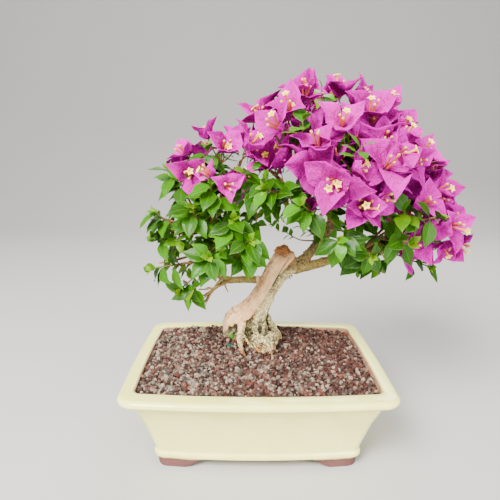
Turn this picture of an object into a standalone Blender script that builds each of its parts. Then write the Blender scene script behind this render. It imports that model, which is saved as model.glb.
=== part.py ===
"""Bougainvillea bonsai in a glazed rectangular pot.

A leaning bougainvillea with two stems grown together, one of them cut back to
a stub, stands in grit in a shallow cream pot with cloud feet. Its wood is one
body. Each leafy spray and each bunch of blooms is a body of its own, held at
the end of a twig.

Sizes and places are in millimetres, measured from the middle of the pot at
the height of the surface it stands on: X to the right, Y to the back, Z up.
"""
import math
import random

import bmesh
import bpy
from mathutils import Matrix, Vector, noise
from mathutils.bvhtree import BVHTree

MM = 0.001
GAP = 0.35                      # clearance between pieces that touch

# Pot
POT_LENGTH = 250.0
POT_DEPTH = 205.0
POT_HEIGHT = 81.0
LONG_SIDE_BOW = 6.0             # the long walls belly out this far in the middle
SHORT_SIDE_BOW = 2.0
FOOT_LENGTH = 94.0              # half of the length and depth over the feet
FOOT_DEPTH = 68.0
FOOT_WIDTH = 10.5
FOOT_CORNERS = (5.0, 8.5)       # corner radius of the inner and the outer face of the feet
SOLE_EDGE = 1.0                 # how far the flat underside of a foot stays in from its outer face
FOOT_FLAT = 25.0                # flat underside of a foot, along the wall from its corner
FOOT_ARCH = 20.0                # length of the cloud curve beside it
FOOT_RISE = 9.2
UNDERSIDE = 9.9
FLOOR = 18.0
CORNER_STEPS = 3
DRAIN_RADIUS = 8.0
DRAIN_SIDES = 20
DRAIN_SPACING = 90.0

# Level rings of the pot: half of its length and half of its depth at the corners, height,
# corner radius. The outer face from the feet up to the rim:
OUTER_FACE = (
    (FOOT_LENGTH, FOOT_DEPTH, 10.4, 8.0),
    (96.5, 70.5, 11.4, 8.5),
    (96.5, 70.5, 15.0, 8.5),
    (95.0, 69.0, 17.0, 8.0),
    (104.0, 78.5, 48.0, 9.0),
    (113.5, 87.5, 70.5, 11.0),
    (115.0, 89.0, 72.6, 12.0),
    (121.0, 94.5, 73.4, 13.5),
    (123.0, 96.5, 75.4, 14.0),
    (123.0, 96.5, 78.8, 14.0),
    (120.4, 93.9, POT_HEIGHT, 13.0),
)
# The inner face from the rim down to the floor:
INNER_FACE = (
    (112.0, 81.0, POT_HEIGHT, 6.5),
    (110.0, 79.0, 79.4, 6.0),
    (108.5, 77.5, 71.0, 6.0),
    (91.0, 63.0, 22.0, 6.0),
    (87.0, 59.0, FLOOR, 5.0),
)

# Drain mesh
MESH_SIZE = 26.0
MESH_THICKNESS = 1.0
MESH_CELLS = 5

# Soil and its grit
SOIL_CLEARANCE = 0.42           # level clearance to the pot's sloping walls
SOIL_EDGE = 78.3                # height of the grit at the pot's walls
SOIL_DIP = 3.0                  # how much lower it lies at the right wall
SOIL_MOUND = 5.7                # how much higher it stands at the trunk
MOUND_REACH = 62.0
GRIT_SPACING = 8.2
GRIT_RELIEF = 1.3
ROOT_DEPTH = 64.0               # the feet of the wood reach down to this height
HOLE_TOP = 89.0                 # they rise straight to this height
BLOCK_TOP = 95.0                # the block that the grit's surface cuts off reaches up to here

# Wood: every limb is a list of (x, y, z, radius). A limb with a foot starts straight up.
TRUNK_CENTRE = (-4.0, 30.0)
FEET = {
    "old_stem": (-21.0, 34.0, 15.0),
    "live_stem": (7.0, 30.0, 12.0),
    "knob": (10.0, 14.0, 13.0),
    "front_root": (-13.0, -3.0, 5.0),
    "right_root": (25.0, 42.0, 6.0),
    "back_root": (-26.0, 55.0, 8.0),
}
LIMBS = {
    "old_stem": [(-21, 34, 97, 16.5), (-20, 33, 107, 16.5), (-13, 31, 119, 13), (-5, 30, 130, 10),
                 (2, 29, 141, 8.6), (16, 28, 164, 8), (22, 27, 178, 7.2), (27, 27, 190, 7.6)],
    "live_stem": [(5, 28, 100, 10.5), (6, 26, 112, 8.8), (11, 25, 132, 8), (26, 25, 157, 7.8),
                  (40, 25, 170, 8.2), (48, 25, 178, 7.4), (59, 22, 191, 6.4), (69, 18, 208, 5.6),
                  (77, 14, 228, 5), (80, 10, 252, 4.2), (81, 6, 275, 3.4), (82, 4, 298, 2.4)],
    "knob": [(10, 15, 93, 13.6), (8, 19, 101, 10.5), (5, 25, 110, 6)],
    "front_root": [(-14, 2, 95, 5.4), (-14, 13, 106, 6), (-9, 25, 117, 6)],
    "right_root": [(21, 39, 97, 6.5), (13, 33, 108, 7), (8, 28, 118, 6)],
    "back_root": [(-24, 51, 97, 9), (-19, 42, 107, 10), (-12, 33, 116, 9)],
    "left_high": [(77, 14, 226, 4), (59, 8, 240, 3), (32, 2, 249, 2.6), (3, -2, 251, 2.3),
                  (-41, -8, 257, 1.7)],
    "crown_left": [(81, 7, 270, 3), (60, 0, 288, 2.6), (34, -6, 307, 1.7)],
    "crown_right": [(81, 10, 254, 3), (103, 14, 274, 2.7), (148, 14, 305, 1.8)],
    "crown_front": [(79, 10, 244, 3), (77, -20, 258, 2.5), (77, -50, 270, 1.8)],
    "crown_back": [(78, 14, 234, 3.4), (86, 48, 258, 2.8), (95, 82, 286, 1.9)],
    "right_low": [(38, 27, 167, 6), (58, 24, 172, 5), (76, 18, 179, 4.4), (100, 12, 185, 3.8),
                  (126, 8, 191, 3.2), (151, 6, 200, 2.6), (180, 4, 214, 1.8)],
    "right_front": [(90, 15, 182, 2.8), (101, -12, 198, 2.2), (111, -36, 212, 1.6)],
    "right_back": [(108, 11, 187, 3), (140, 48, 197, 2.5), (172, 76, 218, 1.7)],
    "right_up": [(139, 8, 196, 2.6), (157, 10, 221, 2.2), (169, 10, 248, 1.6)],
    "left_low": [(0, 30, 154, 3.8), (-15, 35, 153, 3.6), (-31, 37, 152, 3.6), (-46, 34, 161, 3),
                 (-60, 26, 174, 2.4), (-76, 18, 190, 1.7)],
    "left_drop": [(-30, 37, 152, 2.2), (-43, 30, 146, 1.7), (-55, 22, 138, 1.3)],
    "left_back": [(-38, 36, 156, 2.4), (-43, 60, 171, 2), (-51, 78, 190, 1.5)],
    "left_up": [(-46, 34, 161, 2.6), (-49, 20, 188, 2.2), (-50, 8, 211, 1.9), (-52, 0, 232, 1.4)],
    "high_back": [(32, 2, 249, 2.4), (19, 38, 264, 2), (5, 66, 276, 1.5)],
}
TRUNK_LIMBS = ("old_stem", "live_stem", "knob", "front_root", "right_root", "back_root")
TRUNK_SIDES = 10
BRANCH_SIDES = 6
TRUNK_STEP = 11.0
BRANCH_STEP = 20.0
BARK_LUMP = 1.1
BARK_SCALES = (95.0, 210.0)     # lumps to the metre, of the large and the small ones
BARK_FADE = 12.0                # the lumps grow to full size over this height above the feet
TWIG_RADIUS = 1.15
TWIG_END = 0.3                  # share of a twig that runs straight into its spray or bunch
LAST_RUN = 11.0                 # and the longest such run

# Foliage: the place of each spray and bunch. A twig ends a little inside it.
LEFT_PAD = (-40.0, 20.0, 190.0)     # the middle of the leafy pad on the left
CROWN = (88.0, 14.0, 222.0)         # the middle of the flowering crown
SPRAYS = (
    (-78, -8, 214), (-76, 2, 196), (-76, 6, 177), (-58, 10, 168), (-64, -12, 238),
    (-54, -28, 220), (-43, -26, 190), (-20, -18, 190), (-28, -38, 215), (-46, -18, 264),
    (-42, -40, 240), (-6, -46, 246), (-72, -8, 246), (-18, -46, 204), (-80, 46, 192),
    (-58, 70, 212), (-22, 84, 230), (22, -52, 246), (46, -58, 236), (72, -50, 214),
    (92, -44, 204), (114, -42, 212), (134, -36, 226), (138, -8, 190), (120, 42, 182),
    (84, 72, 204), (176, 42, 202), (20, 40, 270),
)
BUNCHES = (
    (-62, -12, 268), (-36, -8, 288), (-18, -26, 282), (-34, -44, 262), (12, -24, 306),
    (38, -6, 325), (84, 2, 321), (38, -56, 284), (66, -70, 272), (88, -62, 252),
    (100, -62, 280), (98, -20, 306), (116, 4, 303), (120, -26, 286), (150, -2, 268),
    (148, -28, 240), (173, -4, 214), (144, -18, 204), (58, 48, 324), (106, 46, 316),
    (84, 86, 302), (142, 60, 288), (170, 58, 262), (180, 48, 232), (16, 54, 294),
    (106, 104, 264), (150, 92, 240),
)
BUNCH_SETBACK = 11.0
OUTWARD_LIFT = 0.25                 # how much the outward way of a spray or bunch turns up
SPRAY_STEM = 28.0
BUNCH_STEM = 8.0
STEM_RADIUS = 1.1
STEM_TIP = 2.0                      # a stem ends this far past its last whorl or its stalks
STEM_POINT = 0.4                    # radius at that end
STALK_RADIUS = 0.9
WHORLS = 4
WHORL_TURN = math.radians(40.0)
FIRST_WHORL = 0.15                  # bare share of a spray's stem
BLADE = 0.7                         # thickness of a leaf or bract
SOCKET = 1.3 * BLADE                # length of stem that the root of a blade takes
LEAF_LENGTH = (22.0, 31.0)
LEAF_RISE = (-5.0, 35.0)            # degrees that a leaf leans forward along its stem
LAST_RISE = 30.0                    # and how much more the last ones do
LEAF_SWEEP = 0.35
LEAF_SAG = 0.45
LEAF_FOLD = (0.15, 0.45)
LEAF_DROOP = (0.05, 0.25)
LEAF_SLANT = (-0.5, 0.85)           # limits of the cosine of its angle with the stem
BRACT_LENGTH = (29.0, 35.0)
BRACT_CUP = (28.0, 55.0)            # degrees that the bracts of a bloom close round its flower
BRACT_SPREAD = 9.0
BRACT_FOLD = (0.1, 0.35)
BRACT_DROOP = (0.0, 0.16)
STALK = (9.0, 18.0)
STALK_TILT = (30.0, 70.0)           # degrees between a bloom's stalk and the bunch's stem
STALK_SWING = 0.45
FLOWER_LENGTH = 14.0
FLOWER_RADIUS = 2.8
TRIES = 60
SHRINK = 0.3                        # how much smaller a leaf or bloom is at the last try

# Half of an outline, from the root: (share of the length, half the width there), both of the length
LEAF_OUTLINE = ((0.42, 0.29),)
BRACT_OUTLINE = ((0.44, 0.37),)


def clear_scene():
    """Remove every object of the scene."""
    for thing in list(bpy.data.objects):
        bpy.data.objects.remove(thing, do_unlink=True)


def new_collection(name):
    """A collection linked to the scene."""
    group = bpy.data.collections.new(name)
    bpy.context.scene.collection.children.link(group)
    return group


def finish(name, colour, roughness, metallic=0.0):
    """A plain Principled material."""
    material = bpy.data.materials.new(name)
    material.use_nodes = True
    shader = material.node_tree.nodes["Principled BSDF"]
    shader.inputs["Base Color"].default_value = (*colour, 1.0)
    shader.inputs["Roughness"].default_value = roughness
    shader.inputs["Metallic"].default_value = metallic
    return material


def mesh_object(name, shape, home):
    """Turn a bmesh in millimetres into an object in metres."""
    bmesh.ops.scale(shape, vec=(MM, MM, MM), verts=shape.verts)
    mesh = bpy.data.meshes.new(name)
    shape.to_mesh(mesh)
    shape.free()
    thing = bpy.data.objects.new(name, mesh)
    home.objects.link(thing)
    return thing


def evaluated_mesh(thing):
    """The mesh of an object with its modifiers, or of a curve with its bevel."""
    bpy.context.view_layer.update()
    graph = bpy.context.evaluated_depsgraph_get()
    return bpy.data.meshes.new_from_object(thing.evaluated_get(graph))


def combine(thing, others, operation):
    """Join other objects to a thing, or cut them from it, and remove them."""
    group = new_collection("operands")
    for other in others:
        for home in list(other.users_collection):
            home.objects.unlink(other)
        group.objects.link(other)
    modifier = thing.modifiers.new(operation.lower(), "BOOLEAN")
    modifier.operation = operation
    modifier.operand_type = "COLLECTION"
    modifier.collection = group
    mesh = evaluated_mesh(thing)
    thing.modifiers.clear()
    thing.data = mesh
    for other in list(group.objects):
        bpy.data.objects.remove(other, do_unlink=True)
    bpy.data.collections.remove(group)
    return thing


def dress(thing, name, material):
    """Name a finished piece, give it its material and shade it smooth between its edges."""
    thing.name = name
    thing.data.name = name
    thing.data.materials.clear()
    thing.data.materials.append(material)
    thing.data.shade_smooth()
    thing.data.set_sharp_from_angle(angle=math.radians(35.0))
    return thing


# Pot

def outline(half_x, half_y, height, corner):
    """Points round the pot on a level ring, each with its distance from the corner of the feet."""
    stations = (FOOT_FLAT, FOOT_FLAT + 0.4 * FOOT_ARCH, FOOT_FLAT + FOOT_ARCH)
    along_x = [FOOT_LENGTH - s for s in stations]
    along_y = [FOOT_DEPTH - s for s in stations]
    points = []
    for sign_x, sign_y, start in ((1, 1, 0.0), (-1, 1, 90.0), (-1, -1, 180.0), (1, -1, 270.0)):
        for step in range(CORNER_STEPS + 1):
            angle = math.radians(start + 90.0 * step / CORNER_STEPS)
            points.append((sign_x * (half_x - corner) + corner * math.cos(angle),
                           sign_y * (half_y - corner) + corner * math.sin(angle), 0.0))
        if sign_x == sign_y:
            row = along_x + [0.0] + [-x for x in reversed(along_x)]
            points += [(sign_x * x, sign_y * half_y, FOOT_LENGTH - abs(x)) for x in row]
        else:
            row = along_y + [0.0] + [-y for y in reversed(along_y)]
            points += [(sign_x * half_x, sign_y * y, FOOT_DEPTH - abs(y)) for y in row]
    bowed = []
    for x, y, reach in points:
        out_y = LONG_SIDE_BOW * (1.0 - (x / half_x) ** 2)
        out_x = SHORT_SIDE_BOW * (1.0 - (y / half_y) ** 2)
        lift_y = out_y if abs(y) > half_y - corner - 0.01 else 0.0
        lift_x = out_x if abs(x) > half_x - corner - 0.01 else 0.0
        bowed.append((Vector((x + math.copysign(lift_x, x), y + math.copysign(lift_y, y), height)), reach))
    return bowed


def foot_line(ring):
    """Lower a ring to the line of the cloud feet."""
    lowered = []
    for point, reach in ring:
        t = min(max((reach - FOOT_FLAT) / FOOT_ARCH, 0.0), 1.0)
        lowered.append(Vector((point.x, point.y, FOOT_RISE * t * t * (3.0 - 2.0 * t))))
    return lowered


def plain_ring(half_x, half_y, height, corner):
    """The points of a level ring."""
    return [point for point, _ in outline(half_x, half_y, height, corner)]


def loft(rings):
    """A closed solid over rings of points, with a flat cap at its first and last ring."""
    shape = bmesh.new()
    rows = [[shape.verts.new(point) for point in ring] for ring in rings]
    for low, high in zip(rows, rows[1:]):
        for i in range(len(low)):
            j = (i + 1) % len(low)
            shape.faces.new((low[i], low[j], high[j], high[i]))
    shape.faces.new(rows[0])
    shape.faces.new(rows[-1])
    bmesh.ops.recalc_face_normals(shape, faces=shape.faces)
    return shape


def make_pot(home, material):
    """The glazed pot: one shell from its cloud feet over the rim to its floor."""
    inner = (FOOT_LENGTH - FOOT_WIDTH, FOOT_DEPTH - FOOT_WIDTH)
    outer = (FOOT_LENGTH - SOLE_EDGE, FOOT_DEPTH - SOLE_EDGE)
    rings = [
        plain_ring(*inner, UNDERSIDE, FOOT_CORNERS[0]),
        foot_line(outline(*inner, 0.0, FOOT_CORNERS[0])),
        foot_line(outline(*outer, 0.0, FOOT_CORNERS[1])),
    ]
    rings += [plain_ring(*row) for row in OUTER_FACE + INNER_FACE]
    pot = mesh_object("pot", loft(rings), home)
    cutters = []
    for side in (-1, 1):
        bpy.ops.mesh.primitive_cylinder_add(
            vertices=DRAIN_SIDES, radius=DRAIN_RADIUS * MM, depth=4 * FLOOR * MM,
            location=(side * DRAIN_SPACING / 2.0 * MM, 0.0, 0.0))
        cutters.append(bpy.context.object)
    combine(pot, cutters, "DIFFERENCE")
    return dress(pot, "pot", material)


def make_drain_mesh(name, side, home, material):
    """A square of plastic mesh over one drain hole."""
    shape = bmesh.new()
    bmesh.ops.create_grid(shape, x_segments=MESH_CELLS, y_segments=MESH_CELLS, size=MESH_SIZE / 2.0)
    cell = MESH_SIZE / MESH_CELLS
    openings = []
    for face in shape.faces:
        column, row = (int((c + MESH_SIZE / 2.0) // cell) for c in face.calc_center_median().xy)
        if column % 2 == 1 and row % 2 == 1:
            openings.append(face)
    bmesh.ops.delete(shape, geom=openings, context="FACES_ONLY")
    bmesh.ops.solidify(shape, geom=shape.faces[:], thickness=MESH_THICKNESS)
    lowest = min(v.co.z for v in shape.verts)
    place = Matrix.Translation((side * DRAIN_SPACING / 2.0, 0.0, FLOOR + GAP - lowest))
    bmesh.ops.transform(shape, matrix=place, verts=shape.verts)
    bmesh.ops.recalc_face_normals(shape, faces=shape.faces)
    return dress(mesh_object(name, shape, home), name, material)


# Soil

def soil_height(x, y):
    """Height of the grit: mounded round the trunk, and lower towards the right wall."""
    distance = math.hypot(x - TRUNK_CENTRE[0], y - TRUNK_CENTRE[1])
    dip = SOIL_DIP * min(max(x / INNER_FACE[0][0], 0.0), 1.0) ** 2
    return SOIL_EDGE - dip + SOIL_MOUND * math.exp(-(distance / MOUND_REACH) ** 2)


def make_soil(home, material):
    """The soil: the inside of the pot under a field of grit, with a hole for each foot of the wood."""
    chance = random.Random(11)
    under = FLOOR + GAP + MESH_THICKNESS + GAP
    _, _, upper, lower, floor = INNER_FACE
    rings = [plain_ring(floor[0], floor[1], under, floor[3])]
    for half_x, half_y, height, corner in (lower, upper, (upper[0], upper[1], BLOCK_TOP, upper[3])):
        rings.append(plain_ring(half_x - SOIL_CLEARANCE, half_y - SOIL_CLEARANCE, height, corner))
    soil = mesh_object("soil", loft(rings), home)

    grit = bmesh.new()
    span_x = int(POT_LENGTH / GRIT_SPACING)
    span_y = int(POT_DEPTH / GRIT_SPACING)
    bmesh.ops.create_grid(grit, x_segments=span_x, y_segments=span_y, size=0.5)
    for v in grit.verts:
        x = v.co.x * POT_LENGTH
        y = v.co.y * POT_DEPTH
        if max(abs(v.co.x), abs(v.co.y)) < 0.49:
            x += chance.uniform(-0.3, 0.3) * GRIT_SPACING
            y += chance.uniform(-0.3, 0.3) * GRIT_SPACING
        v.co = (x, y, soil_height(x, y) + chance.uniform(-GRIT_RELIEF, GRIT_RELIEF))
    bmesh.ops.triangulate(grit, faces=grit.faces)
    sheet = grit.faces[:]
    base = bmesh.ops.extrude_face_region(grit, geom=sheet)
    for item in base["geom"]:
        if isinstance(item, bmesh.types.BMVert):
            item.co.z = 0.0
    bmesh.ops.recalc_face_normals(grit, faces=grit.faces)
    block = mesh_object("grit_block", grit, home)
    combine(soil, [block], "INTERSECT")

    holes = []
    for name, (x, y, radius) in FEET.items():
        fat = radius + GAP / math.cos(math.pi / TRUNK_SIDES)
        path = [(Vector((x, y, ROOT_DEPTH - GAP)), fat), (Vector((x, y, HOLE_TOP + 20.0)), fat)]
        holes.append(tube(name + "_hole", path, TRUNK_SIDES, home))
    combine(soil, holes, "DIFFERENCE")
    return dress(soil, "soil", material)


# Wood

def smooth_path(knots, step):
    """Points about one step apart on a smooth curve through knots of (point, radius)."""
    path = [knots[0]]
    for i in range(len(knots) - 1):
        before = knots[max(i - 1, 0)]
        start, end = knots[i], knots[i + 1]
        after = knots[min(i + 2, len(knots) - 1)]
        count = max(1, round((end[0] - start[0]).length / step))
        for k in range(1, count + 1):
            t = k / count
            weights = (-t ** 3 + 2 * t ** 2 - t, 3 * t ** 3 - 5 * t ** 2 + 2,
                       -3 * t ** 3 + 4 * t ** 2 + t, t ** 3 - t ** 2)
            point = Vector()
            radius = 0.0
            for weight, knot in zip(weights, (before, start, end, after)):
                point += knot[0] * (weight / 2.0)
                radius += knot[1] * (weight / 2.0)
            path.append((point, radius))
    return path


def tube(name, path, sides, home):
    """A round tube through (point, radius) pairs, made a mesh with closed ends."""
    curve = bpy.data.curves.new(name, "CURVE")
    curve.dimensions = "3D"
    curve.bevel_depth = MM
    curve.bevel_resolution = (sides - 4) // 2
    curve.use_fill_caps = True
    spline = curve.splines.new("POLY")
    spline.points.add(len(path) - 1)
    for knot, (point, radius) in zip(spline.points, path):
        knot.co = (*(point * MM), 1.0)
        knot.radius = radius
    guide = bpy.data.objects.new(name, curve)
    home.objects.link(guide)
    mesh = evaluated_mesh(guide)
    shape = bmesh.new()
    shape.from_mesh(mesh)
    bmesh.ops.remove_doubles(shape, verts=shape.verts, dist=0.00001)
    bmesh.ops.recalc_face_normals(shape, faces=shape.faces)
    shape.to_mesh(mesh)
    shape.free()
    thing = bpy.data.objects.new(name, mesh)
    thing.matrix_world = guide.matrix_world
    home.objects.link(thing)
    bpy.data.objects.remove(guide, do_unlink=True)
    return thing


def limb_path(name):
    """The smooth path of a limb, with its straight foot where it has one."""
    knots = [(Vector(row[:3]), row[3]) for row in LIMBS[name]]
    step = TRUNK_STEP if name in TRUNK_LIMBS else BRANCH_STEP
    if name not in FEET:
        return smooth_path(knots, step)
    x, y, radius = FEET[name]
    top = (Vector((x, y, HOLE_TOP)), radius)
    return [(Vector((x, y, ROOT_DEPTH)), radius)] + smooth_path([top] + knots, step)


def roughen(thing):
    """Push the bark of a trunk limb in and out in lumps, above its foot."""
    for v in thing.data.vertices:
        height = v.co.z / MM
        fade = min(max((height - HOLE_TOP) / BARK_FADE, 0.0), 1.0)
        lump = noise.noise(v.co * BARK_SCALES[0]) + 0.6 * noise.noise(v.co * BARK_SCALES[1])
        v.co += v.normal * (fade * BARK_LUMP * MM * lump)


def twig_path(place, paths):
    """A twig from the limb that can best carry it: near, and in line with it and its spray."""
    base = twig_end(place)
    best = None
    for path in paths.values():
        for (low, _), (high, radius) in zip(path[1:], path[2:] + path[-1:]):
            run = high - low
            if run.length < 0.01:
                continue
            way = base - low
            slant = way.normalized().dot(run.normalized())
            turn = way.normalized().dot(outward(place))
            cost = way.length * (1.6 - 0.4 * min(slant, 0.5)) * (2.0 - turn)
            if best is None or cost < best[0]:
                best = (cost, low, way, radius)
    _, start, way, radius = best
    first = min(max(radius * 0.75, TWIG_RADIUS), 2.0)
    bend = base - outward(place) * min(max(TWIG_END * way.length, 3.0), LAST_RUN)
    return [(start, first), (bend, (first + TWIG_RADIUS) / 2.0), (base, TWIG_RADIUS)]


def twig_shape(path):
    """A thin three-sided twig."""
    rings = []
    for i, (point, radius) in enumerate(path):
        way = (path[min(i + 1, len(path) - 1)][0] - path[max(i - 1, 0)][0]).normalized()
        turn = fitting_turn(rings[-1], way) if rings else 0.0
        rings.append(stem_ring(point, way, radius, turn))
    return shoot_shape(rings, {})


def make_wood(home, material, paths, twigs):
    """Roots, stems, branches and twigs, grown as one body."""
    pieces = []
    for name, path in paths.items():
        trunk = name in TRUNK_LIMBS
        limb = tube(name, path, TRUNK_SIDES if trunk else BRANCH_SIDES, home)
        if trunk:
            roughen(limb)
        pieces.append(limb)
    for i, path in enumerate(twigs):
        pieces.append(mesh_object(f"twig_{i}", twig_shape(path), home))
    wood = combine(pieces[0], pieces[1:], "UNION")
    return dress(wood, "wood", material)


# Foliage

def outward(place):
    """The way a spray or bunch grows: out from the middle of its pad and a little up."""
    centre = LEFT_PAD if place[0] < 0 else CROWN
    way = (Vector(place) - Vector(centre)).normalized()
    way.z += OUTWARD_LIFT
    return way.normalized()


def twig_end(place):
    """Where the twig of a spray or bunch ends."""
    return Vector(place) - outward(place) * (BUNCH_SETBACK if place in BUNCHES else 0.0)


def axes_of(way):
    """Two directions at right angles to a way, the first one level."""
    across = way.cross(Vector((0.0, 0.0, 1.0)))
    if across.length < 0.05:
        across = Vector((1.0, 0.0, 0.0))
    across.normalize()
    return across, across.cross(way)


def stem_ring(centre, way, radius, turn):
    """The three corners of a stem at one place along it."""
    across, up = axes_of(way)
    angles = [turn + k * 2.0 * math.pi / 3.0 for k in range(3)]
    return [centre + (across * math.cos(a) + up * math.sin(a)) * radius for a in angles]


def thick_points(points, normal, thickness):
    """Each point twice: below and above the middle of a blade."""
    half = normal * (thickness / 2.0)
    return [(point - half, point + half) for point in points]


class Blade:
    """A leaf or bract: its outline beyond the stem, from one root corner to the other."""

    def __init__(self, root, along, up, length, outline, fold, droop):
        along = along.normalized()
        side = along.cross(up).normalized()
        self.normal = side.cross(along)
        self.points = []
        rows = [(reach, -half) for reach, half in outline] + [(1.0, 0.0)]
        rows += [(reach, half) for reach, half in reversed(outline)]
        for reach, across in rows:
            lift = fold * abs(across) - droop * reach * reach
            self.points.append(root + (along * reach + side * across + self.normal * lift) * length)

    def tree(self, corners, thickness):
        """A tree of the blade between two stem corners, at a given thickness."""
        flat = [corners[0]] + self.points + [corners[1]]
        pairs = thick_points(flat, self.normal, thickness)
        verts = [low for low, _ in pairs] + [high for _, high in pairs]
        count = len(flat)
        tip = count // 2
        faces = []
        for base in (0, count):
            faces += [(base, base + i, base + i + 1) for i in range(1, tip)]
            faces += [(base, base + tip, base + count - 1)]
            faces += [(base + count - 1, base + i, base + i + 1) for i in range(tip, count - 2)]
        faces += [(i, (i + 1) % count, count + (i + 1) % count, count + i) for i in range(count)]
        return BVHTree.FromPolygons(verts, faces)


def tube_tree(path, sides=6, margin=0.0):
    """A tree of a plain tube through (point, radius) pairs."""
    verts = []
    for i, (point, radius) in enumerate(path):
        run = path[min(i + 1, len(path) - 1)][0] - path[max(i - 1, 0)][0]
        across, up = axes_of(run.normalized())
        for k in range(sides):
            angle = 2.0 * math.pi * k / sides
            verts.append(point + (across * math.cos(angle) + up * math.sin(angle)) * (radius + margin))
    faces = []
    for i in range(len(path) - 1):
        for k in range(sides):
            j = (k + 1) % sides
            faces.append((i * sides + k, i * sides + j, (i + 1) * sides + j, (i + 1) * sides + k))
    return BVHTree.FromPolygons(verts, faces)


def add_fan(shape, corners, ridge):
    """Cover one face of a blade: its outline seen from the two corners of its root."""
    tip = len(ridge) // 2
    for i in range(tip):
        shape.faces.new((corners[0], ridge[i], ridge[i + 1]))
    shape.faces.new((corners[0], ridge[tip], corners[1]))
    for i in range(tip, len(ridge) - 1):
        shape.faces.new((corners[1], ridge[i], ridge[i + 1]))


def add_blade(shape, low, high, blade):
    """Grow a blade from the side of a stem, between two lower and two upper corners."""
    pairs = thick_points(blade.points, blade.normal, BLADE)
    under = [shape.verts.new(point) for point, _ in pairs]
    over = [shape.verts.new(point) for _, point in pairs]
    add_fan(shape, low, under)
    add_fan(shape, high, over)
    lower = [low[0]] + under + [low[1]]
    upper = [high[0]] + over + [high[1]]
    for i in range(len(lower) - 1):
        shape.faces.new((lower[i], lower[i + 1], upper[i + 1], upper[i]))


def grow_stem(shape, base, rings, whorls):
    """Carry a three-sided stem on from three corners over further rings, and close its end.

    whorls maps the index of a ring to the three blades, or None, between it and the ring before.
    """
    low = base
    for index, ring in enumerate(rings):
        high = [shape.verts.new(corner) for corner in ring]
        blades = whorls.get(index, (None, None, None))
        for k in range(3):
            j = (k + 1) % 3
            if blades[k] is None:
                shape.faces.new((low[k], low[j], high[j], high[k]))
            else:
                add_blade(shape, (low[k], low[j]), (high[k], high[j]), blades[k])
        low = high
    shape.faces.new(low)


def close_shape(shape):
    """Split the faces in triangles and turn them outwards."""
    bmesh.ops.triangulate(shape, faces=shape.faces)
    bmesh.ops.recalc_face_normals(shape, faces=shape.faces)
    return shape


def shoot_shape(rings, whorls):
    """A closed stem over rings of three corners, with whorls of blades grown from its sides."""
    shape = bmesh.new()
    base = [shape.verts.new(corner) for corner in rings[0]]
    shape.faces.new(base)
    grow_stem(shape, base, rings[1:], whorls)
    return close_shape(shape)


def bunch_shape(rings, apex, stalks):
    """A closed stem whose pointed end carries a stalk with its bloom on each of its three sides."""
    shape = bmesh.new()
    base = [shape.verts.new(corner) for corner in rings[0]]
    shape.faces.new(base)
    neck = [shape.verts.new(corner) for corner in rings[1]]
    for k in range(3):
        j = (k + 1) % 3
        shape.faces.new((base[k], base[j], neck[j], neck[k]))
    point = shape.verts.new(apex)
    for k, stalk in enumerate(stalks):
        corners = [neck[k], neck[(k + 1) % 3], point]
        if stalk is None:
            shape.faces.new(corners)
        else:
            grow_stem(shape, corners, stalk.rings, {1: stalk.bracts})
    return close_shape(shape)


def meets_itself(shape):
    """Whether faces of a shape that share no corner cross each other."""
    shape.faces.ensure_lookup_table()
    tree = BVHTree.FromBMesh(shape)
    for first, second in tree.overlap(tree):
        if first < second:
            corners = set(shape.faces[first].verts)
            if not corners.intersection(shape.faces[second].verts):
                return True
    return False


class Bloom:
    """One bloom: the rings of its stalk and flower, its three bracts, and the trees of both."""

    def __init__(self, rings, bracts, trees, stems):
        self.rings = rings
        self.bracts = bracts
        self.trees = trees
        self.stems = stems


class Cluster:
    """One spray or bunch: its solid, and the trees that test it for clashes."""

    def __init__(self, name, place):
        self.name = name
        self.base = twig_end(place)
        self.way = outward(place)
        self.chance = random.Random(name)
        self.is_bunch = name.startswith("bloom")
        self.solid = None
        self.blades = []
        self.foot = self.base + self.way * GAP
        self.head = self.base + self.way * (BUNCH_STEM if self.is_bunch else SPRAY_STEM)
        end = self.head + self.way * STEM_TIP
        self.stems = [tube_tree([(self.foot, STEM_RADIUS), (end, STEM_RADIUS)], margin=GAP)]

    def is_clear(self, tree, others, own_stems=False):
        """Whether a tree meets no blade of its own and nothing of the other clusters or the wood."""
        trees = self.blades + (self.stems if own_stems else [])
        if any(tree.overlap(other) for other in trees):
            return False
        for cluster in others:
            if cluster is not self and any(tree.overlap(other) for other in cluster.blades + cluster.stems):
                return False
        return True


class Obstacle:
    """The wood, as the clusters see it."""

    def __init__(self, paths):
        self.blades = []
        self.stems = [tube_tree(path) for path in paths]


def grow_spray(spray, others):
    """Set whorls of leaves along a spray's stem, each leaf turned until it is clear."""
    turn = spray.chance.uniform(0.0, 2.0 * math.pi)
    rings = [stem_ring(spray.foot, spray.way, STEM_RADIUS, turn)]
    whorls = {}
    for level in range(WHORLS):
        share = (level + 1) / WHORLS
        turn += WHORL_TURN
        reach = FIRST_WHORL + (1.0 - FIRST_WHORL) * share
        centre = spray.base + spray.way * (SPRAY_STEM * reach)
        radius = STEM_RADIUS * (1.0 - 0.25 * share)
        low = stem_ring(centre, spray.way, radius, turn)
        high = stem_ring(centre + spray.way * SOCKET, spray.way, radius, turn)
        leaves = [grow_leaf(spray, others, low[k], low[(k + 1) % 3], centre, share) for k in range(3)]
        whorls[len(rings)] = leaves
        rings += [low, high]
    rings.append(stem_ring(spray.head + spray.way * STEM_TIP, spray.way, STEM_POINT, turn))
    spray.solid = shoot_shape(rings, whorls)


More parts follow.
